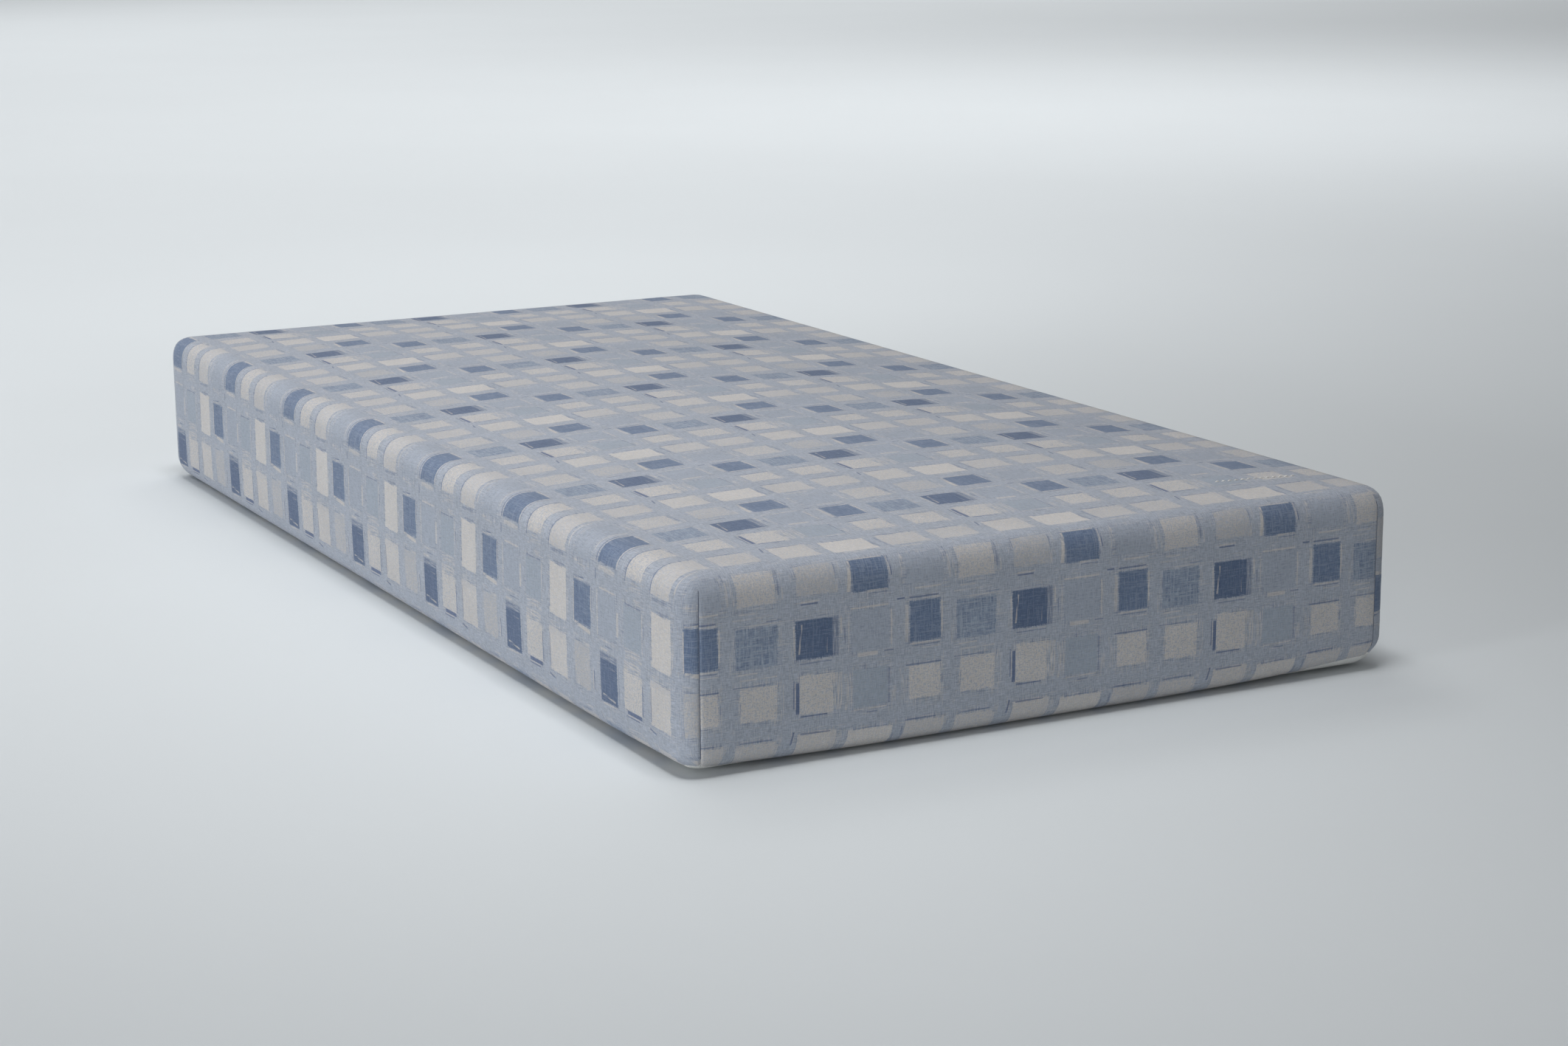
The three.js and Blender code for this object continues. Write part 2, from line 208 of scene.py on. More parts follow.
class Surface:
    """Builds a surface with the mattress shape, inset by a distance all round."""

    def __init__(self, inset, rise, step, corner_step=9, fine=False, x_lines=()):
        self.inset, self.rise = inset, rise
        self.corner = CORNER_RADIUS - inset
        self.edge = EDGE_RADIUS - inset
        half_x = HALF_WIDTH - CORNER_RADIUS
        half_y = HALF_LENGTH - CORNER_RADIUS
        if x_lines:
            inner = evenly(-x_lines[0], x_lines[0], step)
            self.xs = np.concatenate([[-half_x], inner, [half_x]])
        else:
            self.xs = evenly(-half_x, half_x, step)
        self.ys = evenly(-half_y, half_y, step)
        turns = corner_turns(math.radians(corner_step), fine)
        quarter = math.pi / 2
        stops = [
            ("foot", self.xs, None), ("right", None, self.ys),
            ("head", self.xs[::-1], None), ("left", None, self.ys[::-1]),
        ]
        base, angle = [], []
        for k, (side, xs, ys) in enumerate(stops):
            start = -quarter + k * quarter
            fixed = {"foot": -half_y, "head": half_y, "right": half_x, "left": -half_x}[side]
            line = [(x, fixed) for x in xs] if xs is not None else [(fixed, y) for y in ys]
            base += line
            angle += [start] * len(line)
            bend = turns if side in ENDS else [quarter - t for t in reversed(turns)]
            base += [line[-1]] * len(bend)
            angle += [start + t for t in bend]
        self.base = np.array(base)
        self.angle = np.array(angle)
        self.normal = np.stack([np.cos(self.angle), np.sin(self.angle)], 1)

    def __len__(self):
        return len(self.base)

    def chart(self, i):
        """Which side's cloth the strip from station i to the next belongs to."""
        after = (i + 1) % len(self)
        turn = self.angle[after] + (2 * math.pi if after == 0 else 0)
        middle = (self.angle[i] + turn) / 2
        for name, facing in ENDS.items():
            off = (middle - facing + math.pi) % (2 * math.pi) - math.pi
            if abs(off) < math.pi / 2 - SEAM_TURN:
                return name
        return "right" if math.cos(middle) > 0 else "left"

    def section(self, z_high, z_low, arc_steps, side_step, levels=(), flange=()):
        """Insets from the face, heights and lengths along the cloth of the rings, from the top down."""
        top, bottom = HEIGHT - self.rise, self.rise
        edge = self.edge
        rings = []
        if z_high > top - 1e-9:
            rings.append((edge, top, 0.0))
        for turn in np.linspace(0, math.pi / 2, arc_steps + 1)[1:]:
            reach = edge * bulge(turn, SQUARENESS)
            rings.append((edge - reach * math.sin(turn), top - edge + reach * math.cos(turn), edge * turn))
        face_top, face_bottom = top - edge, bottom + edge
        heights = set(np.round(evenly(face_bottom, face_top, side_step), 6))
        heights = {h for h in heights if all(abs(h - level) > side_step * 0.4 for level in levels)}
        heights |= set(levels)
        heights |= {round(face_bottom, 6)}
        heights -= {round(face_top, 6)}
        arc = edge * math.pi / 2
        for z in sorted(heights, reverse=True):
            rings.append((0.0, z, arc + face_top - z))
        whole = arc + face_top - face_bottom
        for turn in np.linspace(0, math.pi / 2, arc_steps + 1)[1:]:
            reach = edge * bulge(turn, UNDER_SQUARENESS)
            under = (edge - reach * math.cos(turn), bottom + edge - reach * math.sin(turn))
            rings.append((*under, whole + edge * turn))
        for extra in flange:
            rings.append((edge + extra, bottom, whole + arc + extra))
        kept = [r for r in rings if z_low - 1e-9 <= r[1] <= z_high + 1e-9]
        if z_high <= top - 1e-9 and kept[0][1] < z_high - 1e-6:
            kept.insert(0, self.cut_ring(z_high))
        if z_low >= bottom + 1e-9 and kept[-1][1] > z_low + 1e-6:
            kept.append(self.cut_ring(z_low))
        return kept

    def cut_ring(self, z):
        """The ring where the surface is cut level at height z."""
        top, bottom, edge = HEIGHT - self.rise, self.rise, self.edge
        over = max(z - (top - edge), (bottom + edge) - z, 0.0)
        return edge - math.sqrt(max(edge * edge - over * over, 0.0)), z, 0.0

    def ring_points(self, ring):
        inset, z, _ = ring
        power = 2 + (SQUARENESS - 2) * min(z / SQUARE_ABOVE, 1.0)
        reach = (self.corner - inset) * bulge(self.angle, power)
        flat = self.base + self.normal * reach[:, None]
        limit = np.array([HALF_WIDTH, HALF_LENGTH]) - self.inset - inset
        flat = np.clip(flat, -limit, limit)
        return np.column_stack([flat, np.full(len(flat), z)])


def build_surface(name, surface, rings, caps=("top",), keep=None, cloth=None):
    """Makes the object, and returns it with the vertex numbers of each ring."""
    points = []
    faces, uvs = [], []
    count = len(surface)
    grid_shape = (len(surface.xs), len(surface.ys))

    def add_cap(z):
        start = sum(len(p) for p in points)
        xs, ys = np.meshgrid(surface.xs, surface.ys, indexing="ij")
        points.append(np.column_stack([xs.ravel(), ys.ravel(), np.full(xs.size, z)]))
        number = lambda i, j: start + i * grid_shape[1] + j
        return start, number

    def cap_faces(number, upward):
        for i in range(grid_shape[0] - 1):
            for j in range(grid_shape[1] - 1):
                corners = [(i, j), (i + 1, j), (i + 1, j + 1), (i, j + 1)]
                corners = corners if upward else corners[::-1]
                faces.append(tuple(number(*c) for c in corners))
                uvs.extend(on_print(surface.xs[a], surface.ys[b]) for a, b in corners)

    def rim_of_cap(number):
        columns = np.abs(surface.base[:, :1] - surface.xs[None]).argmin(1)
        rows = np.abs(surface.base[:, 1:] - surface.ys[None]).argmin(1)
        return np.array([number(i, j) for i, j in zip(columns, rows)])

    numbers = []
    charts = [surface.chart(i) for i in range(count)]
    all_rings = list(rings)
    if "top" in caps:
        _, number = add_cap(rings[0][1])
        cap_faces(number, True)
        numbers.append(rim_of_cap(number))
        all_rings.insert(0, (surface.corner, rings[0][1], rings[0][2] - (surface.corner - rings[0][0])))
    for ring in rings:
        start = sum(len(p) for p in points)
        points.append(surface.ring_points(ring))
        numbers.append(np.arange(start, start + count))
    if "bottom" in caps:
        _, number = add_cap(rings[-1][1])
        cap_faces(number, False)
        numbers.append(rim_of_cap(number))
        all_rings.append((surface.corner, rings[-1][1], rings[-1][2]))
    flat_points = np.vstack(points)
    for k in range(len(numbers) - 1):
        for i in range(count):
            after = (i + 1) % count
            loop = [(k, i), (k + 1, i), (k + 1, after), (k, after)]
            ids = [int(numbers[a][b]) for a, b in loop]
            if keep is not None and not keep(flat_points[ids].mean(0)):
                continue
            kept = [n for n in range(4) if ids[n] != ids[n - 1]]
            if len(kept) < 3:
                continue
            faces.append(tuple(ids[n] for n in kept))
            for n in kept:
                ring, station = loop[n]
                place = cloth_place(surface, charts[i], station, all_rings[ring]) if cloth else (0.0, 0.0)
                uvs.append(place)
    piece = make_object(name, flat_points, faces, uvs if cloth else None)
    return piece, numbers


# How far the pattern runs over the top edge and down each side, measured along the cloth. The
# cloth is drawn tighter over some edges than over others.
CLOTH_OVER_EDGE = {"foot": 84.5 * MM, "left": 46.6 * MM, "right": 60 * MM, "head": 66 * MM}
CLOTH_DOWN_SIDE = {"foot": 1.02, "left": 0.91, "right": 0.96, "head": 1.0}
# The long sides have this share more cloth than surface on their way round a corner.
CLOTH_ROUND_CORNER = 0.34

# Towards the head end the print runs a little askew, and its repeat gets a little shorter.
SKEW, SKEW_FROM = 0.010, -0.6
SHORTEN, SHORTEN_FROM = 0.0145, -0.38


def on_print(u, v):
    """Where on the straight print a place on the flat cloth is."""
    return u + SKEW * max(v - SKEW_FROM, 0.0), v + SHORTEN * max(v - SHORTEN_FROM, 0.0)


def cloth_advance(side, length):
    arc = EDGE_RADIUS * math.pi / 2
    if length <= 0:
        return length
    if length < arc:
        return CLOTH_OVER_EDGE[side] * length / arc
    return CLOTH_OVER_EDGE[side] + CLOTH_DOWN_SIDE[side] * (length - arc)


def cloth_place(surface, side, station, ring):
    """Where a point lies on the flat cloth, which is cut as a cross and folded over the edges."""
    reach = max(surface.corner - ring[0], 0.0)
    x, y = surface.base[station]
    facing = {**ENDS, **SIDES}[side]
    off = (surface.angle[station] - facing + math.pi) % (2 * math.pi) - math.pi
    spare = CLOTH_ROUND_CORNER * abs(off) / SEAM_TURN if side in SIDES else 0.0
    around = reach * off * (1 + spare)
    down = cloth_advance(side, ring[2])
    places = {
        "foot": (x + around, -(HALF_LENGTH - EDGE_RADIUS + down)),
        "head": (x - around, HALF_LENGTH - EDGE_RADIUS + down),
        "right": (HALF_WIDTH - EDGE_RADIUS + down, y + around),
        "left": (-(HALF_WIDTH - EDGE_RADIUS + down), y - around),
    }
    return on_print(*places[side])


# ---------------------------------------------------------------------------
# Softness: how the foam and the cloth give between their seams
# ---------------------------------------------------------------------------

PUFF_SHARE_TOP = 0.27
PUFF_SHARE_SIDE = 0.15
PUFF_FRAMES = 20
PUFF_PRESSURE = 1.8
PUFF_STEP = 34 * MM
PUFF_STIFFNESS = 40
PUFF_NEIGHBOURS = 6
PUFF_BLEND = 4 * MM


def corner_seam_distance(points):
    """Distance along the surface from each point to its corner's seam, or 1 m outside the corners."""
    inner = np.array([HALF_WIDTH, HALF_LENGTH]) - CORNER_RADIUS
    beyond = np.abs(points[:, :2]) - inner
    in_corner = (beyond > -1e-6).all(1)
    turn = np.arctan2(np.maximum(beyond[:, 1], 0), np.maximum(beyond[:, 0], 1e-9))
    reach = np.linalg.norm(np.maximum(beyond, 0), axis=1)
    return np.where(in_corner, np.abs(turn - SEAM_TURN) * reach, 1.0)


def outward(points):
    """The outward direction of the plain mattress shape at each point."""
    inner = np.array([HALF_WIDTH - EDGE_RADIUS, HALF_LENGTH - EDGE_RADIUS, HEIGHT - EDGE_RADIUS])
    centre = np.column_stack([
        np.clip(points[:, 0], -inner[0], inner[0]),
        np.clip(points[:, 1], -inner[1], inner[1]),
        np.clip(points[:, 2], EDGE_RADIUS, inner[2]),
    ])
    away = points - centre
    size = np.linalg.norm(away, axis=1)
    return away / np.maximum(size, 1e-9)[:, None]


def simulate_puff():
    """Runs cloth with pressure on a light copy of the shape, and returns its points and their shifts."""
    surface = Surface(0.0, 0.0, PUFF_STEP, corner_step=22.5)
    rings = surface.section(HEIGHT, 0.0, 4, PUFF_STEP)
    piece, _ = build_surface("puff", surface, rings, caps=("top", "bottom"))
    merge_close(piece)
    rest = coordinates(piece.data)
    away = outward(rest)
    on_edge = np.abs(np.abs(away[:, 2]) - math.sqrt(0.5)) < 0.05
    held = (rest[:, 2] < 1 * MM) | on_edge
    held |= corner_seam_distance(rest) < 1 * MM
    held |= (rest[:, 1] > HALF_LENGTH - EDGE_RADIUS) & (rest[:, 2] < SLOT_TOP + 20 * MM)
    group = piece.vertex_groups.new(name="held")
    group.add([int(i) for i in np.flatnonzero(held)], 1.0, "REPLACE")
    cloth = piece.modifiers.new("cloth", "CLOTH")
    cloth.settings.vertex_group_mass = "held"
    cloth.settings.use_pressure = True
    cloth.settings.uniform_pressure_force = PUFF_PRESSURE
    cloth.settings.effector_weights.gravity = 0.0
    cloth.settings.tension_stiffness = PUFF_STIFFNESS
    cloth.settings.compression_stiffness = PUFF_STIFFNESS
    cloth.point_cache.frame_start = 1
    cloth.point_cache.frame_end = PUFF_FRAMES
    scene = bpy.context.scene
    for step in range(1, PUFF_FRAMES + 1):
        scene.frame_set(step)
    depsgraph = bpy.context.evaluated_depsgraph_get()
    shift = coordinates(piece.evaluated_get(depsgraph).to_mesh()) - rest
    scene.frame_set(1)
    bpy.data.objects.remove(piece)
    return rest, away * np.maximum((shift * away).sum(1), 0)[:, None]


def soften(rest, shift):
    """A function that moves points by a share of what the simulated cloth moved."""
    tree = KDTree(len(rest))
    for i, point in enumerate(rest):
        tree.insert(point, i)
    tree.balance()

    def move(points):
        moved = np.array(points, float)
        for k, point in enumerate(points):
            near = tree.find_n(point, PUFF_NEIGHBOURS)
            weights = np.array([1.0 / (distance + PUFF_BLEND) ** 2 for _, _, distance in near])
            push = (weights[:, None] * shift[[i for _, i, _ in near]]).sum(0) / weights.sum()
            size = np.linalg.norm(push)
            if size > 1e-9:
                upward = max(push[2] / size, 0.0)
                moved[k] += push * (PUFF_SHARE_SIDE + (PUFF_SHARE_TOP - PUFF_SHARE_SIDE) * upward ** 2)
        return moved

    return move


puffed = soften(*simulate_puff())


# ---------------------------------------------------------------------------
# Node materials, written as plain expressions
# ---------------------------------------------------------------------------

class Value:
    """A node's output that can be added, multiplied and so on."""

    def __init__(self, book, socket):
        self.book, self.socket = book, socket

    def __add__(self, other):
        return self.book.math("ADD", self, other)

    def __radd__(self, other):
        return self.book.math("ADD", other, self)

    def __sub__(self, other):
        return self.book.math("SUBTRACT", self, other)

    def __rsub__(self, other):
        return self.book.math("SUBTRACT", other, self)

    def __mul__(self, other):
        return self.book.math("MULTIPLY", self, other)

    def __rmul__(self, other):
        return self.book.math("MULTIPLY", other, self)

    def __truediv__(self, other):
        return self.book.math("DIVIDE", self, other)


class Book:
    """One material and the nodes in it."""

    def __init__(self, name, roughness=0.85, sheen=0.0, metallic=0.0, specular=0.3):
        self.material = bpy.data.materials.new(name)
        self.material.use_nodes = True
        self.tree = self.material.node_tree
        self.shader = self.tree.nodes["Principled BSDF"]
        self.shader.inputs["Roughness"].default_value = roughness
        self.shader.inputs["Metallic"].default_value = metallic
        self.shader.inputs["Specular IOR Level"].default_value = specular
        self.shader.inputs["Sheen Weight"].default_value = sheen
        self.shader.inputs["Sheen Roughness"].default_value = 0.5

    def node(self, kind, inputs=(), output=0, **settings):
        made = self.tree.nodes.new(kind)
        for key, value in settings.items():
            setattr(made, key, value)
        for key, value in dict(inputs).items():
            self.feed(made.inputs[key], value)
        return Value(self, made.outputs[output])

    def feed(self, socket, value):
        if isinstance(value, Value):
            self.tree.links.new(value.socket, socket)
        else:
            socket.default_value = value

    def math(self, operation, a, b=0.0, c=0.0, clamp=False):
        made = self.tree.nodes.new("ShaderNodeMath")
        made.operation = operation
        made.use_clamp = clamp
        for socket, value in zip(made.inputs, (a, b, c)):
            self.feed(socket, value)
        return Value(self, made.outputs[0])

    def least(self, a, b):
        return self.math("MINIMUM", a, b)

    def most(self, a, b):
        return self.math("MAXIMUM", a, b)

    def size(self, a):
        return self.math("ABSOLUTE", a)

    def whole(self, a):
        return self.math("FLOOR", a)

    def wrap(self, a, period):
        return self.math("FLOORED_MODULO", a, period)

    def ramp(self, value, low, high):
        """0 below low, 1 above high, and smooth between."""
        inputs = {"Value": value, "From Min": low, "From Max": high}
        return self.node("ShaderNodeMapRange", inputs, interpolation_type="SMOOTHSTEP")

    def noise(self, x, y, seed, detail=2.0, z=None):
        """Noise from 0 to 1, about one feature for each unit of x and y."""
        place = self.node("ShaderNodeCombineXYZ", {"X": x, "Y": y, "Z": seed if z is None else z + seed})
        return self.node("ShaderNodeTexNoise", {"Vector": place, "Scale": 1.0, "Detail": detail})

    def table(self, place, rows):
        """Picks one of the rows, each of three numbers, by its place from 0 to 1."""
        made = self.tree.nodes.new("ShaderNodeValToRGB")
        made.color_ramp.interpolation = "CONSTANT"
        elements = made.color_ramp.elements
        while len(elements) < len(rows):
            elements.new(0.5)
        for k, row in enumerate(rows):
            elements[k].position = k / len(rows)
            elements[k].color = (*row, 1.0)
        self.feed(made.inputs["Fac"], place)
        return Value(self, made.outputs["Color"])

    def split(self, colour):
        made = self.tree.nodes.new("ShaderNodeSeparateColor")
        self.feed(made.inputs["Color"], colour)
        return [Value(self, made.outputs[k]) for k in range(3)]

    def axes(self, vector):
        made = self.tree.nodes.new("ShaderNodeSeparateXYZ")
        self.feed(made.inputs["Vector"], vector)
        return [Value(self, made.outputs[k]) for k in range(3)]

    def mix(self, share, first, second, blend="MIX"):
        made = self.tree.nodes.new("ShaderNodeMix")
        made.data_type = "RGBA"
        made.blend_type = blend
        self.feed(made.inputs["Factor"], share)
        for key, value in (("A", first), ("B", second)):
            socket = next(s for s in made.inputs if s.name == key and s.type == "RGBA")
            self.feed(socket, value if isinstance(value, Value) else (*value, 1.0))
        return Value(self, next(s for s in made.outputs if s.type == "RGBA"))

    def shade(self, colour, share):
        """Multiplies a colour's brightness by share."""
        grey = self.node("ShaderNodeCombineColor", {"Red": share, "Green": share, "Blue": share})
        return self.mix(1.0, colour, grey, blend="MULTIPLY")

    def finish(self, colour, height=None, strength=0.3, distance=0.5 * MM):
        self.feed(self.shader.inputs["Base Color"], colour)
        if height is not None:
            inputs = {"Height": height, "Strength": strength, "Distance": distance}
            bump = self.node("ShaderNodeBump", inputs)
            self.feed(self.shader.inputs["Normal"], bump)
        return self.material

    def position_mm(self):
        return [axis * (1 / MM) for axis in self.axes(self.node("ShaderNodeTexCoord", output=3))]

    def cloth_mm(self):
        return [axis * (1 / MM) for axis in self.axes(self.node("ShaderNodeUVMap", uv_map="cloth"))[:2]]


# ---------------------------------------------------------------------------
# The cover's woven pattern: a repeat of four by four squares on a grey-blue ground
# ---------------------------------------------------------------------------

CELL = 70.0
FIRST_COLUMN = -424.0
FIRST_ROW = -867.0

GROUND = (0.328, 0.362, 0.426)
GROUND_PALE = (0.378, 0.413, 0.480)
CREAM = (0.560, 0.530, 0.495)
NAVY = (0.085, 0.125, 0.235)

FILLS = {
    "beige": (0.505, 0.495, 0.495),
    "pale": (0.550, 0.532, 0.520),
    "bright": (0.590, 0.568, 0.550),
    "faint": (0.430, 0.435, 0.455),
    "navy": (0.101, 0.143, 0.234),
    "slate": (0.145, 0.196, 0.295),
    "steel": (0.235, 0.288, 0.374),
    "mist": (0.338, 0.376, 0.445),
    "sky": (0.318, 0.366, 0.436),
}

# One row for each square, along X and then towards the foot: its fill, half width, half height,
# shift along the width and towards the foot, and how strong its cross hatching, its flecks and
# the paler strip at its right are.
SQUARES = [
    ("beige", 25, 22, -3, 0, 0.0, 0.8, 0.0),
    ("pale", 25, 25, 3, -1.5, 0.0, 0.7, 0.3),
    ("bright", 29, 24, 1, 2, 0.0, 0.6, 0.0),
    ("beige", 26, 23, 2, 0, 0.0, 0.7, 0.0),
    ("beige", 24, 23.5, -1, 2, 0.0, 1.0, 0.0),
    ("faint", 24, 22, 3, -1, 0.0, 1.0, 0.4),
    ("slate", 23, 23.5, 1, 1.8, 0.5, 0.0, 0.0),
    ("mist", 24, 22, 1, 2, 0.3, 0.2, 0.0),
    ("steel", 26, 23, -2, 3.7, 1.0, 0.1, 0.0),
    ("navy", 27, 23, 3.5, 2.5, 0.3, 0.0, 1.0),
    ("mist", 24, 24, 1, 1, 0.3, 0.1, 0.0),
    ("slate", 20, 24, 1, -1.2, 0.5, 0.0, 0.0),
    ("pale", 23, 21, 0, 0.5, 0.0, 1.0, 0.0),
    ("pale", 21, 24, 2, -2.5, 0.0, 1.0, 0.0),
    ("sky", 22, 23, 1, -1.5, 0.2, 0.3, 0.0),
    ("pale", 21, 20, 1, 1, 0.0, 1.0, 0.0),
]

# The strokes woven round each square, in the same order. For each: its middle across and towards
# the foot from the square's middle, half width, half height, tone from -1 for navy to 1 for cream,
# and lean. Wide strokes break up into stripes.
STROKES = [
    [(0, -24, 20, 0.8, -0.7, 0), (27, -2, 1.2, 16, 0.6, 0), (0, 26, 18, 0.9, 0.6, 0)],
    [(-2, -24, 19, 0.8, -0.8, 0), (-31, -20, 1.2, 8, -0.8, 0.2), (29, 0, 3.0, 20, 0.5, 0)],
    [(0, -25, 22, 0.7, -0.5, 0), (31, 4, 1.2, 16, -0.5, 0), (-3, 27, 18, 0.9, 0.6, 0)],
    [(-6, -25, 20, 0.9, -0.8, 0), (-5, 32, 14, 1.3, 0.8, 0), (-29, 0, 1.5, 18, -0.5, 0)],
    [
        (27, -5, 1.2, 17, -0.5, 0), (32, 10, 1.0, 9, 0.6, 0), (-30, 0, 3.5, 20, 0.5, 0),
        (-12, 32, 10, 0.9, 0.7, 0), (-2, 29, 24, 0.5, -0.4, 0),
    ],
    [(28, 0, 3.5, 23, 0.5, 0), (-8, 30, 12, 1.0, 0.8, 0), (-9, 32.5, 11, 0.9, -0.9, 0)],
    [
        (-26, 0, 2.2, 22, 0.9, 0.08), (-2, -24, 21, 0.9, 0.8, 0), (25, -9, 0.7, 13, 0.7, -0.05),
        (27, -9, 0.8, 14, -0.8, -0.05), (9, 24, 13, 1.0, 0.7, 0), (10, 27, 12, 0.6, -0.6, 0),
    ],
    [
        (-30, 0, 4.0, 20, 0.5, 0), (4, 28, 17, 1.1, 0.8, 0), (30, -15, 0.9, 12, -0.5, -0.1),
        (32, 3, 1.4, 17, 0.7, -0.05),
    ],
    [
        (1, -26, 23, 0.8, 0.6, 0), (22, -28.5, 9, 0.6, -0.6, 0), (-4, -34, 25, 0.9, 0.5, 0),
        (-11, 29, 12, 0.9, 0.7, 0),
    ],
    [
        (-21, -1, 1.1, 17, 0.8, 0.11), (-29, 2, 0.8, 19, 0.8, 0), (12, 9, 0.6, 9, 0.5, 0),
        (-2, 27.5, 20, 0.7, -0.6, 0), (30.5, -12, 1.4, 10, 0.6, 0), (-3, 25, 22, 0.5, 0.5, 0),
    ],
    [
        (-1, -27, 24, 1.1, 0.9, 0.02), (-4, 28, 13, 2.4, 0.8, 0), (26.5, 0, 0.9, 21, 0.8, 0),
        (-33, 8, 0.8, 14, -0.6, 0), (-28, 0, 0.8, 22, 0.5, 0), (23, 27, 6, 0.7, -0.7, 0),
    ],
    [
        (-1, -28.5, 19, 1.0, -0.8, 0), (8, -26, 12, 0.6, 0.7, 0), (22, 1, 0.9, 22, 0.9, 0),
        (-24, 1, 2.2, 22, 0.6, 0), (0, 26, 20, 0.8, 0.8, 0), (1, 28.5, 18, 0.7, -0.7, 0),
        (-31, -29, 5, 1.0, -0.9, 0), (8, 32, 12, 0.7, 0.7, 0),
    ],
    [(0, -31, 23, 0.9, 0.7, 0), (-8, -23, 23, 0.7, -0.6, 0), (29, 0, 4.0, 20, 0.5, 0)],
    [
        (-23.5, 3, 2.2, 19, -1.0, 0), (-26.6, 0, 0.6, 16, 0.7, 0), (-28.2, -2, 0.8, 17, -0.8, 0),
        (-3, 25.5, 17, 0.8, -0.9, 0), (27, 0, 6.0, 22, 0.8, 0),
    ],
    [
        (-29, 2, 5.5, 22, 0.7, 0), (23.5, 1, 0.8, 21, -0.6, 0), (0, 25.5, 21, 0.9, 0.8, 0),
        (30, 12, 3.0, 9, 0.7, 0), (2, 30, 7, 0.8, -0.6, 0),
    ],
    [(-29, 0, 5.0, 19, 0.5, 0), (-2, -21.5, 23, 0.8, -0.8, 0), (23, 0, 0.7, 18, 0.5, 0)],
]
NO_STROKE = (39, 39, 0, 0, 0, 0)
STROKE_SLOTS = max(len(strokes) for strokes in STROKES)

SHAPE_UNIT = 80.0
STRIP_WIDTH = 8.0
WIDE_STROKE = 2.4


def stroke_tones(book, place, x, y, upright_threads, level_threads):
    """All strokes at once: above 0 where cream shows, under 0 where navy does."""
    tones = 0.0
    for slot in range(STROKE_SLOTS):
        rows = [strokes[slot] if slot < len(strokes) else NO_STROKE for strokes in STROKES]
        places = [(0.5 + r[0] / SHAPE_UNIT, 0.5 + r[1] / SHAPE_UNIT, 0.5 + r[5]) for r in rows]
        sizes = [(r[2] / SHAPE_UNIT, r[3] / SHAPE_UNIT, 0.5 + r[4] / 2) for r in rows]
        middle_x, middle_y, lean = book.split(book.table(place, places))
        half_x, half_y, tone = book.split(book.table(place, sizes))
        off_y = y - (middle_y - 0.5) * SHAPE_UNIT
        off_x = x - (middle_x - 0.5) * SHAPE_UNIT + off_y * (lean - 0.5)
        room_x = half_x * SHAPE_UNIT - book.size(off_x)
        room_y = half_y * SHAPE_UNIT - book.size(off_y)
        inside = book.ramp(book.least(room_x, room_y), -0.35, 0.45)
        upright = book.math("GREATER_THAN", half_y, half_x)
        threads = level_threads + (upright_threads - level_threads) * upright
        tone = tone * 2.0 - 1.0
        wide = book.math("GREATER_THAN", book.least(half_x, half_y), WIDE_STROKE / SHAPE_UNIT)
        whole = book.ramp(threads + book.size(tone) * 0.12 - wide * 0.10, 0.45, 0.55)
        tones = inside * whole * tone + tones
    return tones


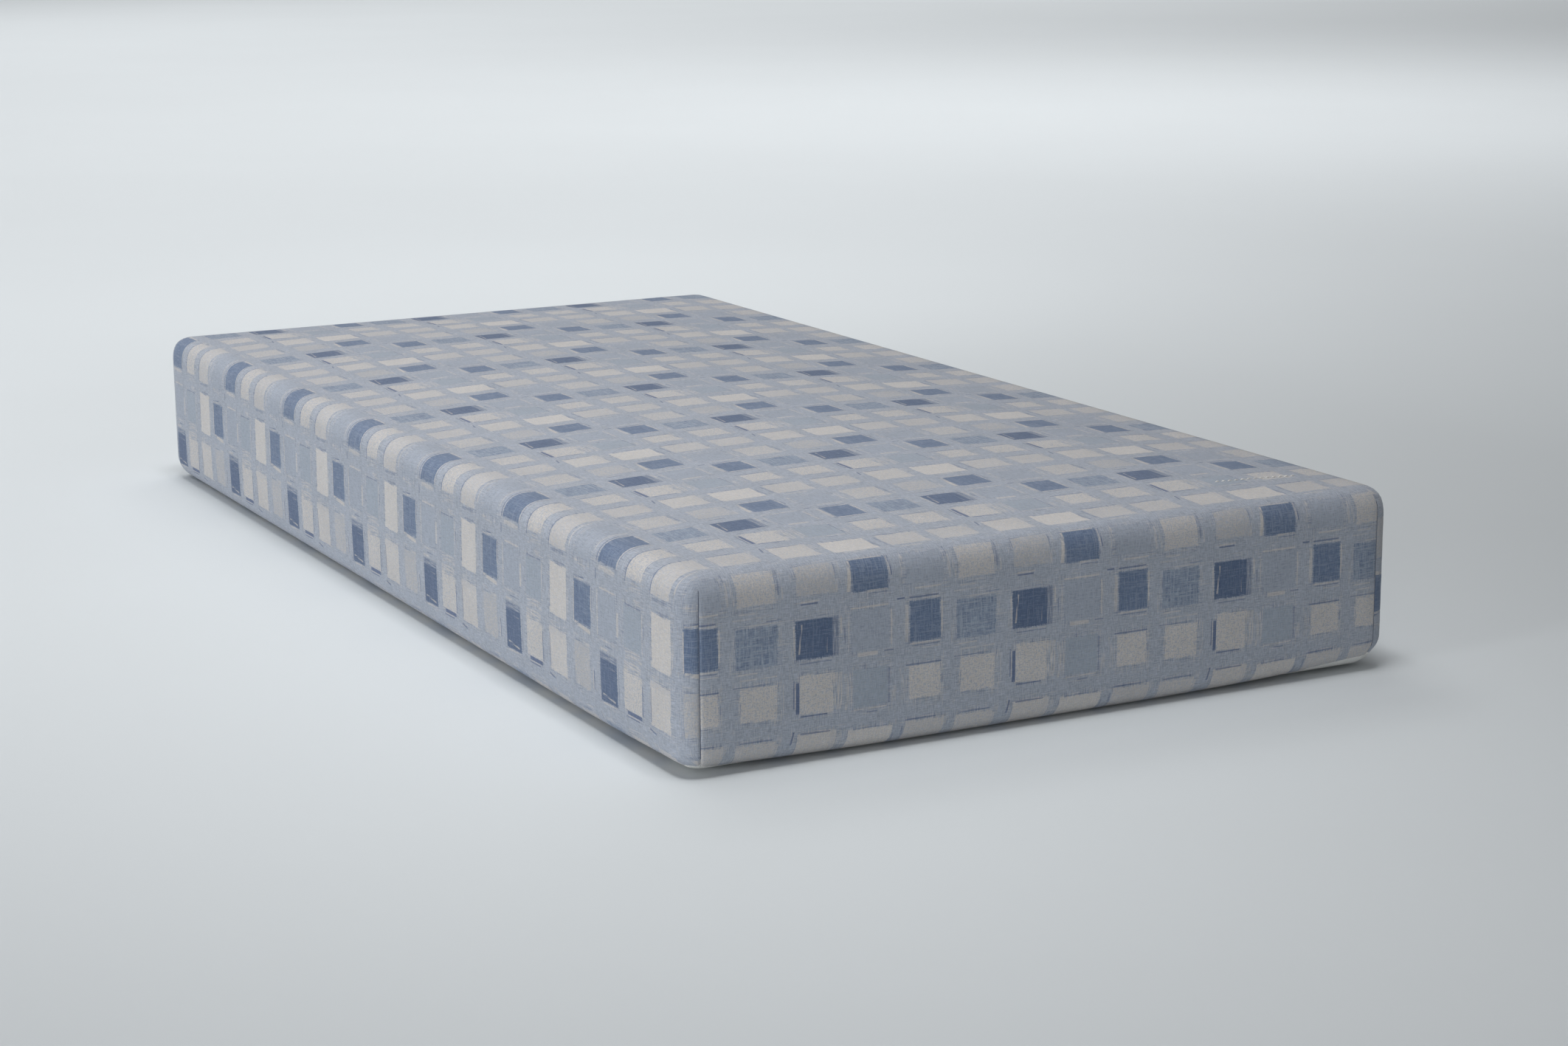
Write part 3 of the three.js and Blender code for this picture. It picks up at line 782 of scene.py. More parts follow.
def cover_material():
    book = Book("cover_fabric", roughness=0.9, sheen=0.15, specular=0.2)
    u, v = book.cloth_mm()
    column = (u - FIRST_COLUMN) / CELL
    row = (FIRST_ROW - v) / CELL
    across = (column - book.whole(column) - 0.5) * CELL
    down = (row - book.whole(row) - 0.5) * CELL
    place = (book.wrap(book.whole(row), 4.0) * 4.0 + book.wrap(book.whole(column), 4.0) + 0.5) / 16.0
    tile_u = book.wrap(column, 4.0) * CELL
    tile_v = book.wrap(row, 4.0) * CELL

    fill = book.table(place, [FILLS[s[0]] for s in SQUARES])
    shape = [(s[1] / SHAPE_UNIT, s[2] / SHAPE_UNIT, 0.5 + s[3] / SHAPE_UNIT) for s in SQUARES]
    half_width, half_height, shift_across = book.split(book.table(place, shape))
    kind = [(s[5], s[6], s[7]) for s in SQUARES]
    hatch, flecks, strip = book.split(book.table(place, kind))
    shift_down = book.split(book.table(place, [(0.5 + s[4] / SHAPE_UNIT, 0.0, 0.0) for s in SQUARES]))[0]
    half_width = half_width * SHAPE_UNIT
    half_height = half_height * SHAPE_UNIT
    x = across - (shift_across - 0.5) * SHAPE_UNIT
    y = down - (shift_down - 0.5) * SHAPE_UNIT

    # Threads: fine ones along the warp and the weft, thicker yarns, and short linen slubs.
    warp = book.noise(u / 0.9, v / 12.0, 3.0, detail=1.0)
    weft = book.noise(u / 12.0, v / 0.9, 7.0, detail=1.0)
    yarn_warp = book.noise(u / 2.4, v / 45.0, 13.0, detail=1.0)
    yarn_weft = book.noise(u / 45.0, v / 2.4, 19.0, detail=1.0)
    slub_warp = book.noise(u / 1.4, v / 5.0, 31.0, detail=1.0)
    slub_weft = book.noise(u / 5.0, v / 1.4, 37.0, detail=1.0)
    fleck = book.noise(u / 1.8, v / 1.8, 17.0, detail=2.0)
    cloud = book.noise(u / 60.0, v / 60.0, 11.0)
    weave = warp + weft - 1.0

    # The squares, with edges that break up along the threads.
    along_warp = book.noise(tile_u / 1.3, tile_v / 26.0, 23.0)
    along_weft = book.noise(tile_u / 26.0, tile_v / 1.3, 29.0)
    comb_x = book.noise(tile_u / 9.0, tile_v / 1.8, 47.0)
    comb_y = book.noise(tile_u / 1.8, tile_v / 9.0, 53.0)
    to_side = half_width - book.size(x) + (along_warp - 0.5) * 8.0 + (comb_x - 0.5) * 4.0
    to_end = half_height - book.size(y) + (along_weft - 0.5) * 8.0 + (comb_y - 0.5) * 4.0
    square = book.ramp(book.least(to_side, to_end), -0.6, 0.8)
    in_strip = book.ramp(x - half_width + STRIP_WIDTH, -0.5, 1.0) * strip
    square = square * (1.0 - in_strip * (0.3 + book.ramp(along_warp, 0.36, 0.60) * 0.4))

    ground = book.mix(book.ramp(weave + (fleck - 0.5) * 1.0, -0.22, 0.22), GROUND, GROUND_PALE)
    ground = book.mix(book.ramp(fleck + (slub_weft - 0.5) * 0.5, 0.66, 0.76) * 0.30, ground, CREAM)
    rim = book.ramp(book.least(to_side, to_end), -11.0, -1.0)
    loose_pale = book.ramp(book.most(along_warp, along_weft) + rim * 0.06, 0.62, 0.72)
    loose_dark = book.ramp(book.least(along_warp, along_weft) - rim * 0.05, 0.37, 0.30)
    ground = book.mix(loose_pale * 0.45, ground, CREAM)
    ground = book.mix(loose_dark * (0.10 + rim * 0.30), ground, NAVY)
    slubs = slub_warp + slub_weft - 1.0
    linen = slubs + (fleck - 0.5) * 0.9
    linen_dark = book.ramp(linen, 0.0, 0.15) * flecks
    linen_pale = book.ramp(linen, -0.02, -0.15) * flecks
    filled = book.mix(linen_dark * 0.75, fill, GROUND)
    filled = book.mix(linen_pale * 0.50, filled, CREAM)
    yarns = book.most(yarn_warp, yarn_weft) + weave * 0.5
    filled = book.mix(book.ramp(yarns, 0.52, 0.70) * hatch * 0.45, filled, GROUND_PALE)
    filled = book.mix(book.ramp(yarns, 0.52, 0.38) * hatch * 0.48, filled, NAVY)
    colour = book.mix(square, ground, filled)

    tones = stroke_tones(book, place, x, y, along_warp, along_weft)
    colour = book.mix(book.math("MULTIPLY", tones, 0.80, clamp=True), colour, CREAM)
    colour = book.mix(book.math("MULTIPLY", tones, -0.85, clamp=True), colour, NAVY)
    colour = book.shade(colour, 0.955 + weave * 0.34 + slubs * 0.30 + cloud * 0.16)
    height = warp + weft + slubs * 0.7 + square * 0.3
    return book.finish(colour, height, strength=0.35, distance=0.35 * MM)


def simple_cloth(name, dark, pale, pitch, roughness=0.9, sheen=0.15, strength=0.4):
    """A plain woven cloth with its threads seen from all sides."""
    book = Book(name, roughness=roughness, sheen=sheen, specular=0.2)
    x, y, z = book.position_mm()
    warp = book.noise(x / pitch, y / (pitch * 12), 3.0, z=z / pitch)
    weft = book.noise(x / (pitch * 12), y / pitch, 7.0, z=z / pitch)
    cloud = book.noise(x / 40.0, y / 40.0, 11.0, z=z / 40.0)
    share = book.ramp(warp + weft, 0.75, 1.25)
    colour = book.shade(book.mix(share, dark, pale), 0.88 + cloud * 0.24)
    return book.finish(colour, warp + weft, strength=strength, distance=0.3 * MM)


def thread_material(name, colour, twist=1.1):
    """Twisted thread: painted highlight and painted shade on the turns along its length."""
    book = Book(name, roughness=0.75, sheen=0.2, specular=0.3)
    x, y, z = book.position_mm()
    # The sine over the turns is painted highlight on their ridges and painted shade between them; it is
    # also the bump.
    wave = book.math("SINE", (x + y + z * 1.3) * (2 * math.pi / twist))
    fuzz = book.noise(x / 0.4, y / 0.4, 5.0, z=z / 0.4)
    shaded = book.shade(colour, 0.85 + wave * 0.12 + fuzz * 0.2)
    return book.finish(shaded, wave + fuzz, strength=0.5, distance=0.2 * MM)


def metal_material():
    book = Book("zip_metal", roughness=0.32, metallic=1.0, specular=0.5)
    x, y, z = book.position_mm()
    brushed = book.noise(x / 0.25, y / 3.0, 5.0, z=z / 3.0)
    cloud = book.noise(x / 4.0, y / 4.0, 9.0, z=z / 4.0)
    colour = book.shade((0.62, 0.64, 0.66), 0.88 + brushed * 0.12 + cloud * 0.12)
    book.feed(book.shader.inputs["Roughness"], 0.24 + cloud * 0.2)
    return book.finish(colour, brushed, strength=0.15, distance=0.05 * MM)


def nylon_material():
    book = Book("zip_nylon", roughness=0.42, specular=0.5)
    x, y, z = book.position_mm()
    cloud = book.noise(x / 3.0, y / 3.0, 9.0, z=z / 3.0)
    colour = book.shade((0.185, 0.215, 0.275), 0.85 + cloud * 0.3)
    book.feed(book.shader.inputs["Roughness"], 0.35 + cloud * 0.18)
    return book.finish(colour, cloud, strength=0.1, distance=0.1 * MM)


def foam_material(name, colour, pore):
    """Open-cell foam: small pores whose middles are darkened with painted shade, and faint colour
    variation.
    """
    book = Book(name, roughness=0.95, specular=0.15)
    x, y, z = book.position_mm()
    place = book.node("ShaderNodeCombineXYZ", {"X": x / pore, "Y": y / pore, "Z": z / pore})
    cells = book.node("ShaderNodeTexVoronoi", {"Vector": place, "Scale": 1.0})
    cloud = book.noise(x / 30.0, y / 30.0, 9.0, z=z / 30.0)
    # The pore middles are painted darker as painted shade in the hollows; the same values make the bump.
    pore_shade_and_relief = book.ramp(cells, 0.12, 0.5)
    shaded = book.shade(colour, 0.70 + pore_shade_and_relief * 0.22 + cloud * 0.16)
    return book.finish(shaded, pore_shade_and_relief, strength=0.6, distance=0.4 * MM)


def tape_material():
    """Herringbone zip tape, with painted shade between its ribs."""
    book = Book("zip_tape", roughness=0.85, sheen=0.15, specular=0.2)
    x, _, z = book.position_mm()
    zigzag = book.size(book.wrap(x, 3.0) - 1.5)
    # The ribs are painted lighter on their ridges and darker between them as painted shade; they are also
    # the bump.
    rib_shade_and_relief = book.math("SINE", (z + zigzag) * (2 * math.pi / 0.8))
    fuzz = book.noise(x / 0.6, z / 0.6, 5.0)
    colour = book.shade((0.150, 0.178, 0.235), 0.78 + rib_shade_and_relief * 0.14 + fuzz * 0.3)
    return book.finish(colour, rib_shade_and_relief, strength=0.4, distance=0.2 * MM)


def label_material():
    book = Book("label_cloth", roughness=0.6, sheen=0.1, specular=0.3)
    x, _, z = book.position_mm()
    weave = book.noise(x / 0.5, z / 4.0, 5.0) + book.noise(x / 4.0, z / 0.5, 7.0)
    colour = book.shade((0.86, 0.86, 0.84), 0.86 + weave * 0.12)
    return book.finish(colour, weave, strength=0.3, distance=0.1 * MM)


COVER_CLOTH = cover_material()
BASE_CLOTH = simple_cloth("base_fabric", (0.120, 0.140, 0.175), (0.190, 0.212, 0.250), 0.9)
SLEEVE_KNIT = simple_cloth("sleeve_knit", (0.72, 0.72, 0.70), (0.88, 0.88, 0.86), 0.7)
SEAM_THREAD = thread_material("seam_thread", (0.110, 0.130, 0.185))
SLEEVE_THREAD = thread_material("sleeve_thread", (0.80, 0.80, 0.78))
WHITE_THREAD = thread_material("white_thread", (0.90, 0.89, 0.86), twist=0.9)
ZIP_METAL = metal_material()
ZIP_NYLON = nylon_material()
ZIP_TAPE = tape_material()
LABEL_CLOTH = label_material()
GRIP_DOTS = simple_cloth(
    "grip_dots", (0.060, 0.066, 0.078), (0.085, 0.092, 0.105), 1.4, roughness=0.6, sheen=0.0,
)


# ---------------------------------------------------------------------------
# Cover
# ---------------------------------------------------------------------------

COVER_STEP = 9.5 * MM
SEAM_DEPTH = 1.1 * MM
SEAM_WIDTH = 1.5 * MM
SEAM_FADE_FROM = 22 * MM
SEAM_FADE = 18 * MM
THREAD_BELOW = 22 * MM
THREAD_ABOVE = 24 * MM
PUCKER_PITCH = 13 * MM
PUCKER_DEPTH = 0.35 * MM
PUCKER_REACH = 14 * MM
HEM_INWARD = Vector((0, -2.4 * MM, 0.3 * MM))
HEM_UPWARD = Vector((0, 0, 8 * MM))
SEAM_THREAD_RADIUS = 0.42 * MM

# How far the cover's lower corners at the foot end curl up off the floor.
CURL = {"left": 5 * MM, "right": 8 * MM}
CURL_REACH = 170 * MM
CURL_HEIGHT = 110 * MM


def curl_corners(points):
    """Lifts the underside towards the corners at the foot end."""
    moved = np.array(points, float)
    low = np.clip(1 - moved[:, 2] / CURL_HEIGHT, 0, 1)
    fade = low * low * (3 - 2 * low)
    for side, sign in (("left", -1), ("right", 1)):
        away = np.hypot(moved[:, 0] - sign * HALF_WIDTH, moved[:, 1] + HALF_LENGTH)
        moved[:, 2] += CURL[side] * np.exp(-((away / CURL_REACH) ** 2)) * fade
    return moved


def pinch_seams(points):
    """Draws the cloth in along the corner seams, with small puckers beside them."""
    distance = corner_seam_distance(points)
    on_wall = np.clip((HEIGHT - SEAM_FADE_FROM - points[:, 2]) / SEAM_FADE, 0, 1)
    groove = SEAM_DEPTH * np.exp(-((distance / SEAM_WIDTH) ** 2))
    pucker = PUCKER_DEPTH * np.sin(points[:, 2] * 2 * math.pi / PUCKER_PITCH)
    pucker *= np.exp(-((distance / PUCKER_REACH) ** 2)) * (distance > SEAM_WIDTH)
    return points - outward(points) * ((groove + pucker) * on_wall)[:, None]


def beside_slot(centre):
    """Whether the cover has cloth here: not over the zip, nor where the base strip is."""
    x, y, z = centre
    at_head = y > HALF_LENGTH - EDGE_RADIUS - 20 * MM and abs(x) < SLOT_HALF_LENGTH
    return not (at_head and z < SLOT_TOP)


def turn_in_hem(piece, chosen, inward, length):
    """Folds the cloth at an open edge: out of sight behind the face, then along it."""
    mesh = bmesh.new()
    mesh.from_mesh(piece.data)
    edges = [e for e in mesh.edges if e.is_boundary and chosen((e.verts[0].co + e.verts[1].co) / 2)]
    for move in (inward, length):
        made = bmesh.ops.extrude_edge_only(mesh, edges=edges)["geom"]
        verts = [g for g in made if isinstance(g, bmesh.types.BMVert)]
        edges = [g for g in made if isinstance(g, bmesh.types.BMEdge)]
        bmesh.ops.translate(mesh, verts=verts, vec=move)
    mesh.to_mesh(piece.data)
    mesh.free()
    piece.data.polygons.foreach_set("use_smooth", [True] * len(piece.data.polygons))


def make_cover():
    surface = Surface(0.0, 0.0, COVER_STEP, fine=True, x_lines=(SLOT_HALF_LENGTH,))
    flange = HALF_WIDTH - SLOT_HALF_LENGTH - EDGE_RADIUS
    rings = surface.section(HEIGHT, 0.0, 11, COVER_STEP, levels=(SLOT_TOP,), flange=(flange,))
    piece, numbers = build_surface("cover", surface, rings, keep=beside_slot, cloth=True)
    points = coordinates(piece.data)
    points = curl_corners(pinch_seams(puffed(points)))
    set_coordinates(piece, points)
    seam_paths = {}
    for k in range(len(surface)):
        turn = surface.angle[k] % math.pi
        if abs(abs(turn - math.pi / 2) - (math.pi / 2 - SEAM_TURN)) < 1e-6:
            end = "foot" if surface.base[k][1] < 0 else "head"
            side = "left" if surface.base[k][0] < 0 else "right"
            seam_paths[f"corner_seam_{end}_{side}"] = points[[ring[k] for ring in numbers[1:]]]
    merge_close(piece)
    slot_edge = lambda p: abs(p.z - SLOT_TOP) < 1 * MM and p.y > 0 and abs(p.x) < SLOT_HALF_LENGTH
    turn_in_hem(piece, slot_edge, HEM_INWARD, HEM_UPWARD)
    dress(piece, COVER_CLOTH, replaces=["top_cover"])
    return piece, seam_paths


cover, seam_paths = make_cover()
cover_tree = BVHTree.FromObject(cover, bpy.context.evaluated_depsgraph_get())


def make_corner_seams():
    """A line of dark thread at the bottom of each corner's groove."""
    lowest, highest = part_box("corner_seam_foot_left")
    for name, path in seam_paths.items():
        path = np.array([p for p in path if lowest.z - THREAD_BELOW < p[2] < highest.z + THREAD_ABOVE])
        steps = np.linspace(0, len(path) - 1, 3 * len(path))
        whole = np.minimum(steps.astype(int), len(path) - 2)
        share = (steps - whole)[:, None]
        line = path[whole] * (1 - share) + path[whole + 1] * share
        swell = SEAM_THREAD_RADIUS * (1 + 0.12 * np.sin(np.arange(len(line)) * 1.9))
        points, faces = tube(line, swell)
        piece = make_object(name + "_thread", points, faces)
        dress(piece, SEAM_THREAD, replaces=[name])


make_corner_seams()


def stitch(parts, start, end, lift, radius, steps=6):
    """One stitch: a short thread that dives into the cloth at both ends."""
    share = np.linspace(0, 1, steps)[:, None]
    line = start + (end - start) * share + lift * np.sin(math.pi * share)
    thick = radius * (0.55 + 0.45 * np.sin(math.pi * np.clip(share[:, 0], 0.08, 0.92)))
    parts.add(*tube(line, thick, sides=6))


# The row of white stitches on the top, near the foot end's right corner.
TACK_START = (0.300, -0.836)
TACK_END = (0.414, -0.848)
TACK_COUNT = 13
TACK_SHARE = 0.62
TACK_RADIUS = 0.9 * MM
TACK_SINK = 0.35 * MM


def on_top(x, y):
    hit = cover_tree.ray_cast(Vector((x, y, 1.0)), Vector((0, 0, -1)))[0]
    return np.array(hit)


def make_tack_row():
    parts = Parts()
    ends = np.array(TACK_START), np.array(TACK_END)
    for k in range(TACK_COUNT):
        first = ends[0] + (ends[1] - ends[0]) * k / TACK_COUNT
        last = ends[0] + (ends[1] - ends[0]) * (k + TACK_SHARE) / TACK_COUNT
        sink = np.array([0, 0, TACK_SINK])
        stitch(parts, on_top(*first) - sink, on_top(*last) - sink, 3 * sink, TACK_RADIUS)
    piece = parts.object("white_tack_stitches")
    dress(piece, WHITE_THREAD)


make_tack_row()


# ---------------------------------------------------------------------------
# Base panel, its seam and its grip dots
# ---------------------------------------------------------------------------

PANEL_LIFT = 0.5 * MM
PANEL_STEP = 20 * MM
PANEL_ARC_STEPS = 10
PANEL_HEM_INWARD = Vector((0, -2.2 * MM, -0.3 * MM))
PANEL_HEM_DOWNWARD = Vector((0, 0, -6 * MM))
BASE_SEAM_RADIUS = 1.15 * MM
BASE_SEAM_LIFT = 1 * MM
DOT_PITCH = 24 * MM
DOT_RADIUS = 4.5 * MM
DOT_SIDES = 10
DOT_FACE = 0.1 * MM
DOT_TAPER = 0.7
FIRST_DOT = 0.7


def strip_path():
    """The base cloth from the foot end, along the floor and up the head end to the zip."""
    flat_end = HALF_LENGTH - EDGE_RADIUS
    path = [(y, PANEL_LIFT) for y in evenly(BASE_FOOT, flat_end, PANEL_STEP)]
    radius = EDGE_RADIUS - PANEL_LIFT
    for turn in np.linspace(0, math.pi / 2, PANEL_ARC_STEPS + 1)[1:]:
        reach = radius * bulge(turn, UNDER_SQUARENESS)
        path.append((flat_end + reach * math.sin(turn), EDGE_RADIUS - reach * math.cos(turn)))
    path += [(flat_end + radius, z) for z in evenly(EDGE_RADIUS, BASE_STRIP_TOP, 4 * MM)[1:]]
    return np.array(path)


def make_base():
    path = strip_path()
    xs = evenly(-BASE_HALF_WIDTH, BASE_HALF_WIDTH, PANEL_STEP)
    points = [(x, y, z) for y, z in path for x in xs]
    wide = len(xs)
    faces = [
        (r * wide + c, (r + 1) * wide + c, (r + 1) * wide + c + 1, r * wide + c + 1)
        for r in range(len(path) - 1) for c in range(wide - 1)
    ]
    piece = make_object("base_panel", curl_corners(points), faces)
    top_edge = lambda p: abs(p.z - BASE_STRIP_TOP) < 1 * MM and p.y > 0
    turn_in_hem(piece, top_edge, PANEL_HEM_INWARD, PANEL_HEM_DOWNWARD)
    dress(piece, BASE_CLOTH, replaces=["base_cover"])


def make_grip_dots():
    parts = Parts()
    turn = np.linspace(0, 2 * math.pi, DOT_SIDES, endpoint=False)
    circle = np.column_stack([np.cos(turn), np.sin(turn), np.zeros(DOT_SIDES)])
    rows = int((HALF_LENGTH - EDGE_RADIUS - BASE_FOOT) / DOT_PITCH)
    columns = int(2 * BASE_HALF_WIDTH / DOT_PITCH)
    faces = [
        (j, (j + 1) % DOT_SIDES, DOT_SIDES + (j + 1) % DOT_SIDES, DOT_SIDES + j)
        for j in range(DOT_SIDES)
    ]
    faces.append(tuple(reversed(range(DOT_SIDES, 2 * DOT_SIDES))))
    faces.append(tuple(range(DOT_SIDES)))
    for r in range(rows):
        for c in range(columns - r % 2):
            x = (c - (columns - 1 - r % 2) / 2) * DOT_PITCH
            y = BASE_FOOT + (r + FIRST_DOT) * DOT_PITCH
            rim = circle * DOT_RADIUS + (x, y, PANEL_LIFT + DOT_FACE)
            face = circle * DOT_RADIUS * DOT_TAPER + (x, y, DOT_FACE)
            parts.add(curl_corners(np.vstack([rim, face])), faces)
    piece = parts.object("grip_dots")
    dress(piece, GRIP_DOTS)


def make_base_seam():
    """Overlocked thread between the cover and the base panel, up to both ends of the zip."""
    x = BASE_HALF_WIDTH + SEAM_ROOM / 2
    side = strip_path()
    side = np.column_stack([np.full(len(side), x), side[:, 0], side[:, 1] + BASE_SEAM_LIFT])
    side[:, 1] = np.maximum(side[:, 1], BASE_FOOT - SEAM_ROOM / 2)
    foot = [(s, BASE_FOOT - SEAM_ROOM / 2, PANEL_LIFT + BASE_SEAM_LIFT) for s in evenly(-x, x, PANEL_STEP)]
    right = side[side[:, 1] > BASE_FOOT + SEAM_ROOM]
    left = right[::-1] * (-1, 1, 1)
    line = np.vstack([left, foot, right])
    points, faces = tube(curl_corners(line), BASE_SEAM_RADIUS)
    piece = make_object("base_seam_thread", points, faces)
    dress(piece, SEAM_THREAD, replaces=["base_seam"])


make_base()
make_grip_dots()
make_base_seam()


# ---------------------------------------------------------------------------
# Zip
# ---------------------------------------------------------------------------

COIL_PITCH = 1.6 * MM
COIL_WIRE = 0.36 * MM
COIL_OVERLAP = 0.45 * MM
COIL_TURN_STEPS = 10
BEVEL_ANGLE = math.radians(30)
SHARP_ANGLE = math.radians(50)
ZIP_STITCH_PITCH = 4 * MM
PATCH_GAP = 0.5 * MM
PATCH_TUCK = 4 * MM
PATCH_BEHIND = 0.1 * MM
PATCH_THICKNESS = 0.5 * MM
STITCH_RADIUS = 0.3 * MM
STITCH_LIFT = np.array([0, 0.35 * MM, 0])


def make_coil(name, node, side, shift):
    """A nylon coil: one long spring whose turns lie between those of the other side."""
    low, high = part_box(node)
    middle_z = (tape_low.z + under_tape_high.z) / 2
    inner = middle_z - side * COIL_OVERLAP
    outer = high.z if side > 0 else low.z
    turns = int((high.x - low.x - 2 * COIL_PITCH) / COIL_PITCH)
    t = np.arange(turns * COIL_TURN_STEPS) / COIL_TURN_STEPS
    angle = 2 * math.pi * t
    line = np.column_stack([
        low.x + COIL_PITCH + t * COIL_PITCH + shift,
        (low.y + high.y) / 2 + ((high.y - low.y) / 2 - COIL_WIRE) * np.sin(angle),
        (inner + outer) / 2 - (abs(outer - inner) / 2 - COIL_WIRE) * side * np.cos(angle),
    ])
    points, faces = tube(line, COIL_WIRE, sides=5)
    piece = make_object(name, points, faces)
    dress(piece, ZIP_NYLON, replaces=[node])


def make_tape(name, low, high, replaces=()):
    """A strip of woven tape that fills the box from low to high."""
    xs = evenly(low.x, high.x, 12 * MM)
    zs = evenly(low.z, high.z, 2 * MM)
    points = [(x, y, z) for y in (low.y, high.y) for x in xs for z in zs]
    wide, tall = len(xs), len(zs)
    back = wide * tall
    faces = []
    for i in range(wide - 1):
        for j in range(tall - 1):
            a, b, c, d = i * tall + j, (i + 1) * tall + j, (i + 1) * tall + j + 1, i * tall + j + 1
            faces += [(a, b, c, d), (d + back, c + back, b + back, a + back)]
    for i in range(wide - 1):
        for j in (0, tall - 1):
            a, b = i * tall + j, (i + 1) * tall + j
            faces.append((a, a + back, b + back, b) if j == 0 else (b, b + back, a + back, a))
    for j in range(tall - 1):
        for i in (0, wide - 1):
            a, b = i * tall + j, i * tall + j + 1
            faces.append((b, b + back, a + back, a) if i == 0 else (a, a + back, b + back, b))
    piece = make_object(name, points, faces)
    dress(piece, ZIP_TAPE, replaces=replaces)


def make_end_patch(name, side):
    """A patch of tape behind one end of the zip, tucked under the cloth all round."""
    coil_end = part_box("zip_coil_upper")[1].x
    slider_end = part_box("zip_slider")[1].x
    inner = max(coil_end, slider_end) + PATCH_GAP
    outer = SLOT_HALF_LENGTH + PATCH_TUCK
    front = tape_low.y - PATCH_BEHIND
    low = Vector((min(side * inner, side * outer), front - PATCH_THICKNESS, BASE_STRIP_TOP - PATCH_TUCK))
    high = Vector((max(side * inner, side * outer), front, SLOT_TOP + PATCH_TUCK))
    make_tape(name, low, high)


def bevelled_copy(name, node, width, segments=3):
    """The CAD piece with its edges rounded over, as cast metal has them."""
    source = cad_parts[node]
    piece = bpy.data.objects.new(name, source.data.copy())
    bpy.context.scene.collection.objects.link(piece)
    merge_close(piece, 2e-6)
    bevel = piece.modifiers.new("bevel", "BEVEL")
    bevel.width = width
    bevel.segments = segments
    bevel.limit_method = "ANGLE"
    bevel.angle_limit = BEVEL_ANGLE
    apply_modifiers(piece)
    piece.data.polygons.foreach_set("use_smooth", [True] * len(piece.data.polygons))
    piece.data.set_sharp_from_angle(angle=SHARP_ANGLE)
    return piece


def make_zip_stitches(name, z):
    """The row of stitches that holds a tape behind the edge of the cloth."""
    parts = Parts()
    reach = tape_high.x - 4 * MM
    count = int(2 * reach / ZIP_STITCH_PITCH)
    for k in range(count):
        x = -reach + k * ZIP_STITCH_PITCH
        ends = []
        for place in (x, x + 0.7 * ZIP_STITCH_PITCH):
            hit = cover_tree.ray_cast(Vector((place, HALF_LENGTH + 0.1, z)), Vector((0, -1, 0)))[0]
            y = hit.y if hit is not None and z > SLOT_TOP else HALF_LENGTH - PANEL_LIFT
            ends.append(np.array([place, y, z]))
        stitch(parts, ends[0], ends[1], STITCH_LIFT, STITCH_RADIUS, steps=5)
    piece = parts.object(name)
    dress(piece, SEAM_THREAD)


make_tape("zip_tape_upper_cloth", tape_low, tape_high, ["zip_tape_upper"])
make_tape("zip_tape_lower_cloth", under_tape_low, under_tape_high, ["zip_tape_lower"])
make_end_patch("zip_end_patch_left", -1)
make_end_patch("zip_end_patch_right", 1)
make_coil("zip_coil_upper_turns", "zip_coil_upper", 1, 0.0)
make_coil("zip_coil_lower_turns", "zip_coil_lower", -1, COIL_PITCH / 2)
make_zip_stitches("zip_stitches_upper", SLOT_TOP + 3 * MM)
make_zip_stitches("zip_stitches_lower", BASE_STRIP_TOP - 3 * MM)
for stop in ("zip_top_stop_upper", "zip_top_stop_lower", "zip_bottom_stop"):
    dress(bevelled_copy(stop + "_crimp", stop, 0.5 * MM), ZIP_METAL, replaces=[stop])
slider = bevelled_copy("zip_slider_casting", "zip_slider", 0.28 * MM)
dress(slider, ZIP_METAL, body="zip_slider", replaces=["zip_slider"])
pull = bevelled_copy("zip_pull_casting", "zip_pull", 0.35 * MM)
dress(pull, ZIP_METAL, body="zip_pull", replaces=["zip_pull"])


# ---------------------------------------------------------------------------
# Care label, blank
# ---------------------------------------------------------------------------

LABEL_CURL = 2.2 * MM
LABEL_STEP = 2.5 * MM
LABEL_MARGIN = 3 * MM
LABEL_STITCH = 3 * MM
LABEL_STITCH_COUNT = 10


def make_label():
    low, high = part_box("care_label")
    xs = evenly(low.x, high.x, LABEL_STEP)
    zs = evenly(low.z, high.z, LABEL_STEP)
    points = []
    for z in zs:
        share = (high.z - z) / (high.z - low.z)
        for x in xs:
            across = 2 * (x - low.x) / (high.x - low.x) - 1
            lift = LABEL_CURL * share ** 3 * (0.6 + 0.4 * across * across)
            wave = 0.25 * MM * math.sin(across * 4 + share * 3) * share
            points.append((x, high.y + lift + wave, z))
    wide = len(xs)
    faces = [
        (r * wide + c + 1, r * wide + c, (r + 1) * wide + c, (r + 1) * wide + c + 1)
        for r in range(len(zs) - 1) for c in range(wide - 1)
    ]
    piece = make_object("care_label_cloth", points, faces)
    dress(piece, LABEL_CLOTH, replaces=["care_label"])
    stitches = Parts()
    for k in range(LABEL_STITCH_COUNT):
        x = low.x + (k + 0.35) * (high.x - low.x) / LABEL_STITCH_COUNT
        start = np.array([x, high.y, high.z - LABEL_MARGIN])
        stitch(stitches, start, start + (LABEL_STITCH, 0, 0), STITCH_LIFT, STITCH_RADIUS)
    row = stitches.object("care_label_stitches")
    dress(row, WHITE_THREAD)


make_label()


# ---------------------------------------------------------------------------
# Inside: sleeve and foam
# ---------------------------------------------------------------------------

INNER_STEP = 26 * MM
SLEEVE_SEAM_STEP = 12 * MM
SLEEVE_SEAM_INSET = 0.4 * MM
SLEEVE_SEAM_RADIUS = 0.55 * MM


def make_inner(name, node, inset, rise, material, caps):
    low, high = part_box(node)
    surface = Surface(inset, rise, INNER_STEP, corner_step=15)
    rings = surface.section(high.z, low.z, 6, INNER_STEP)
    piece, _ = build_surface(name, surface, rings, caps=caps)
    merge_close(piece)
    dress(piece, material, replaces=[node])
    return piece


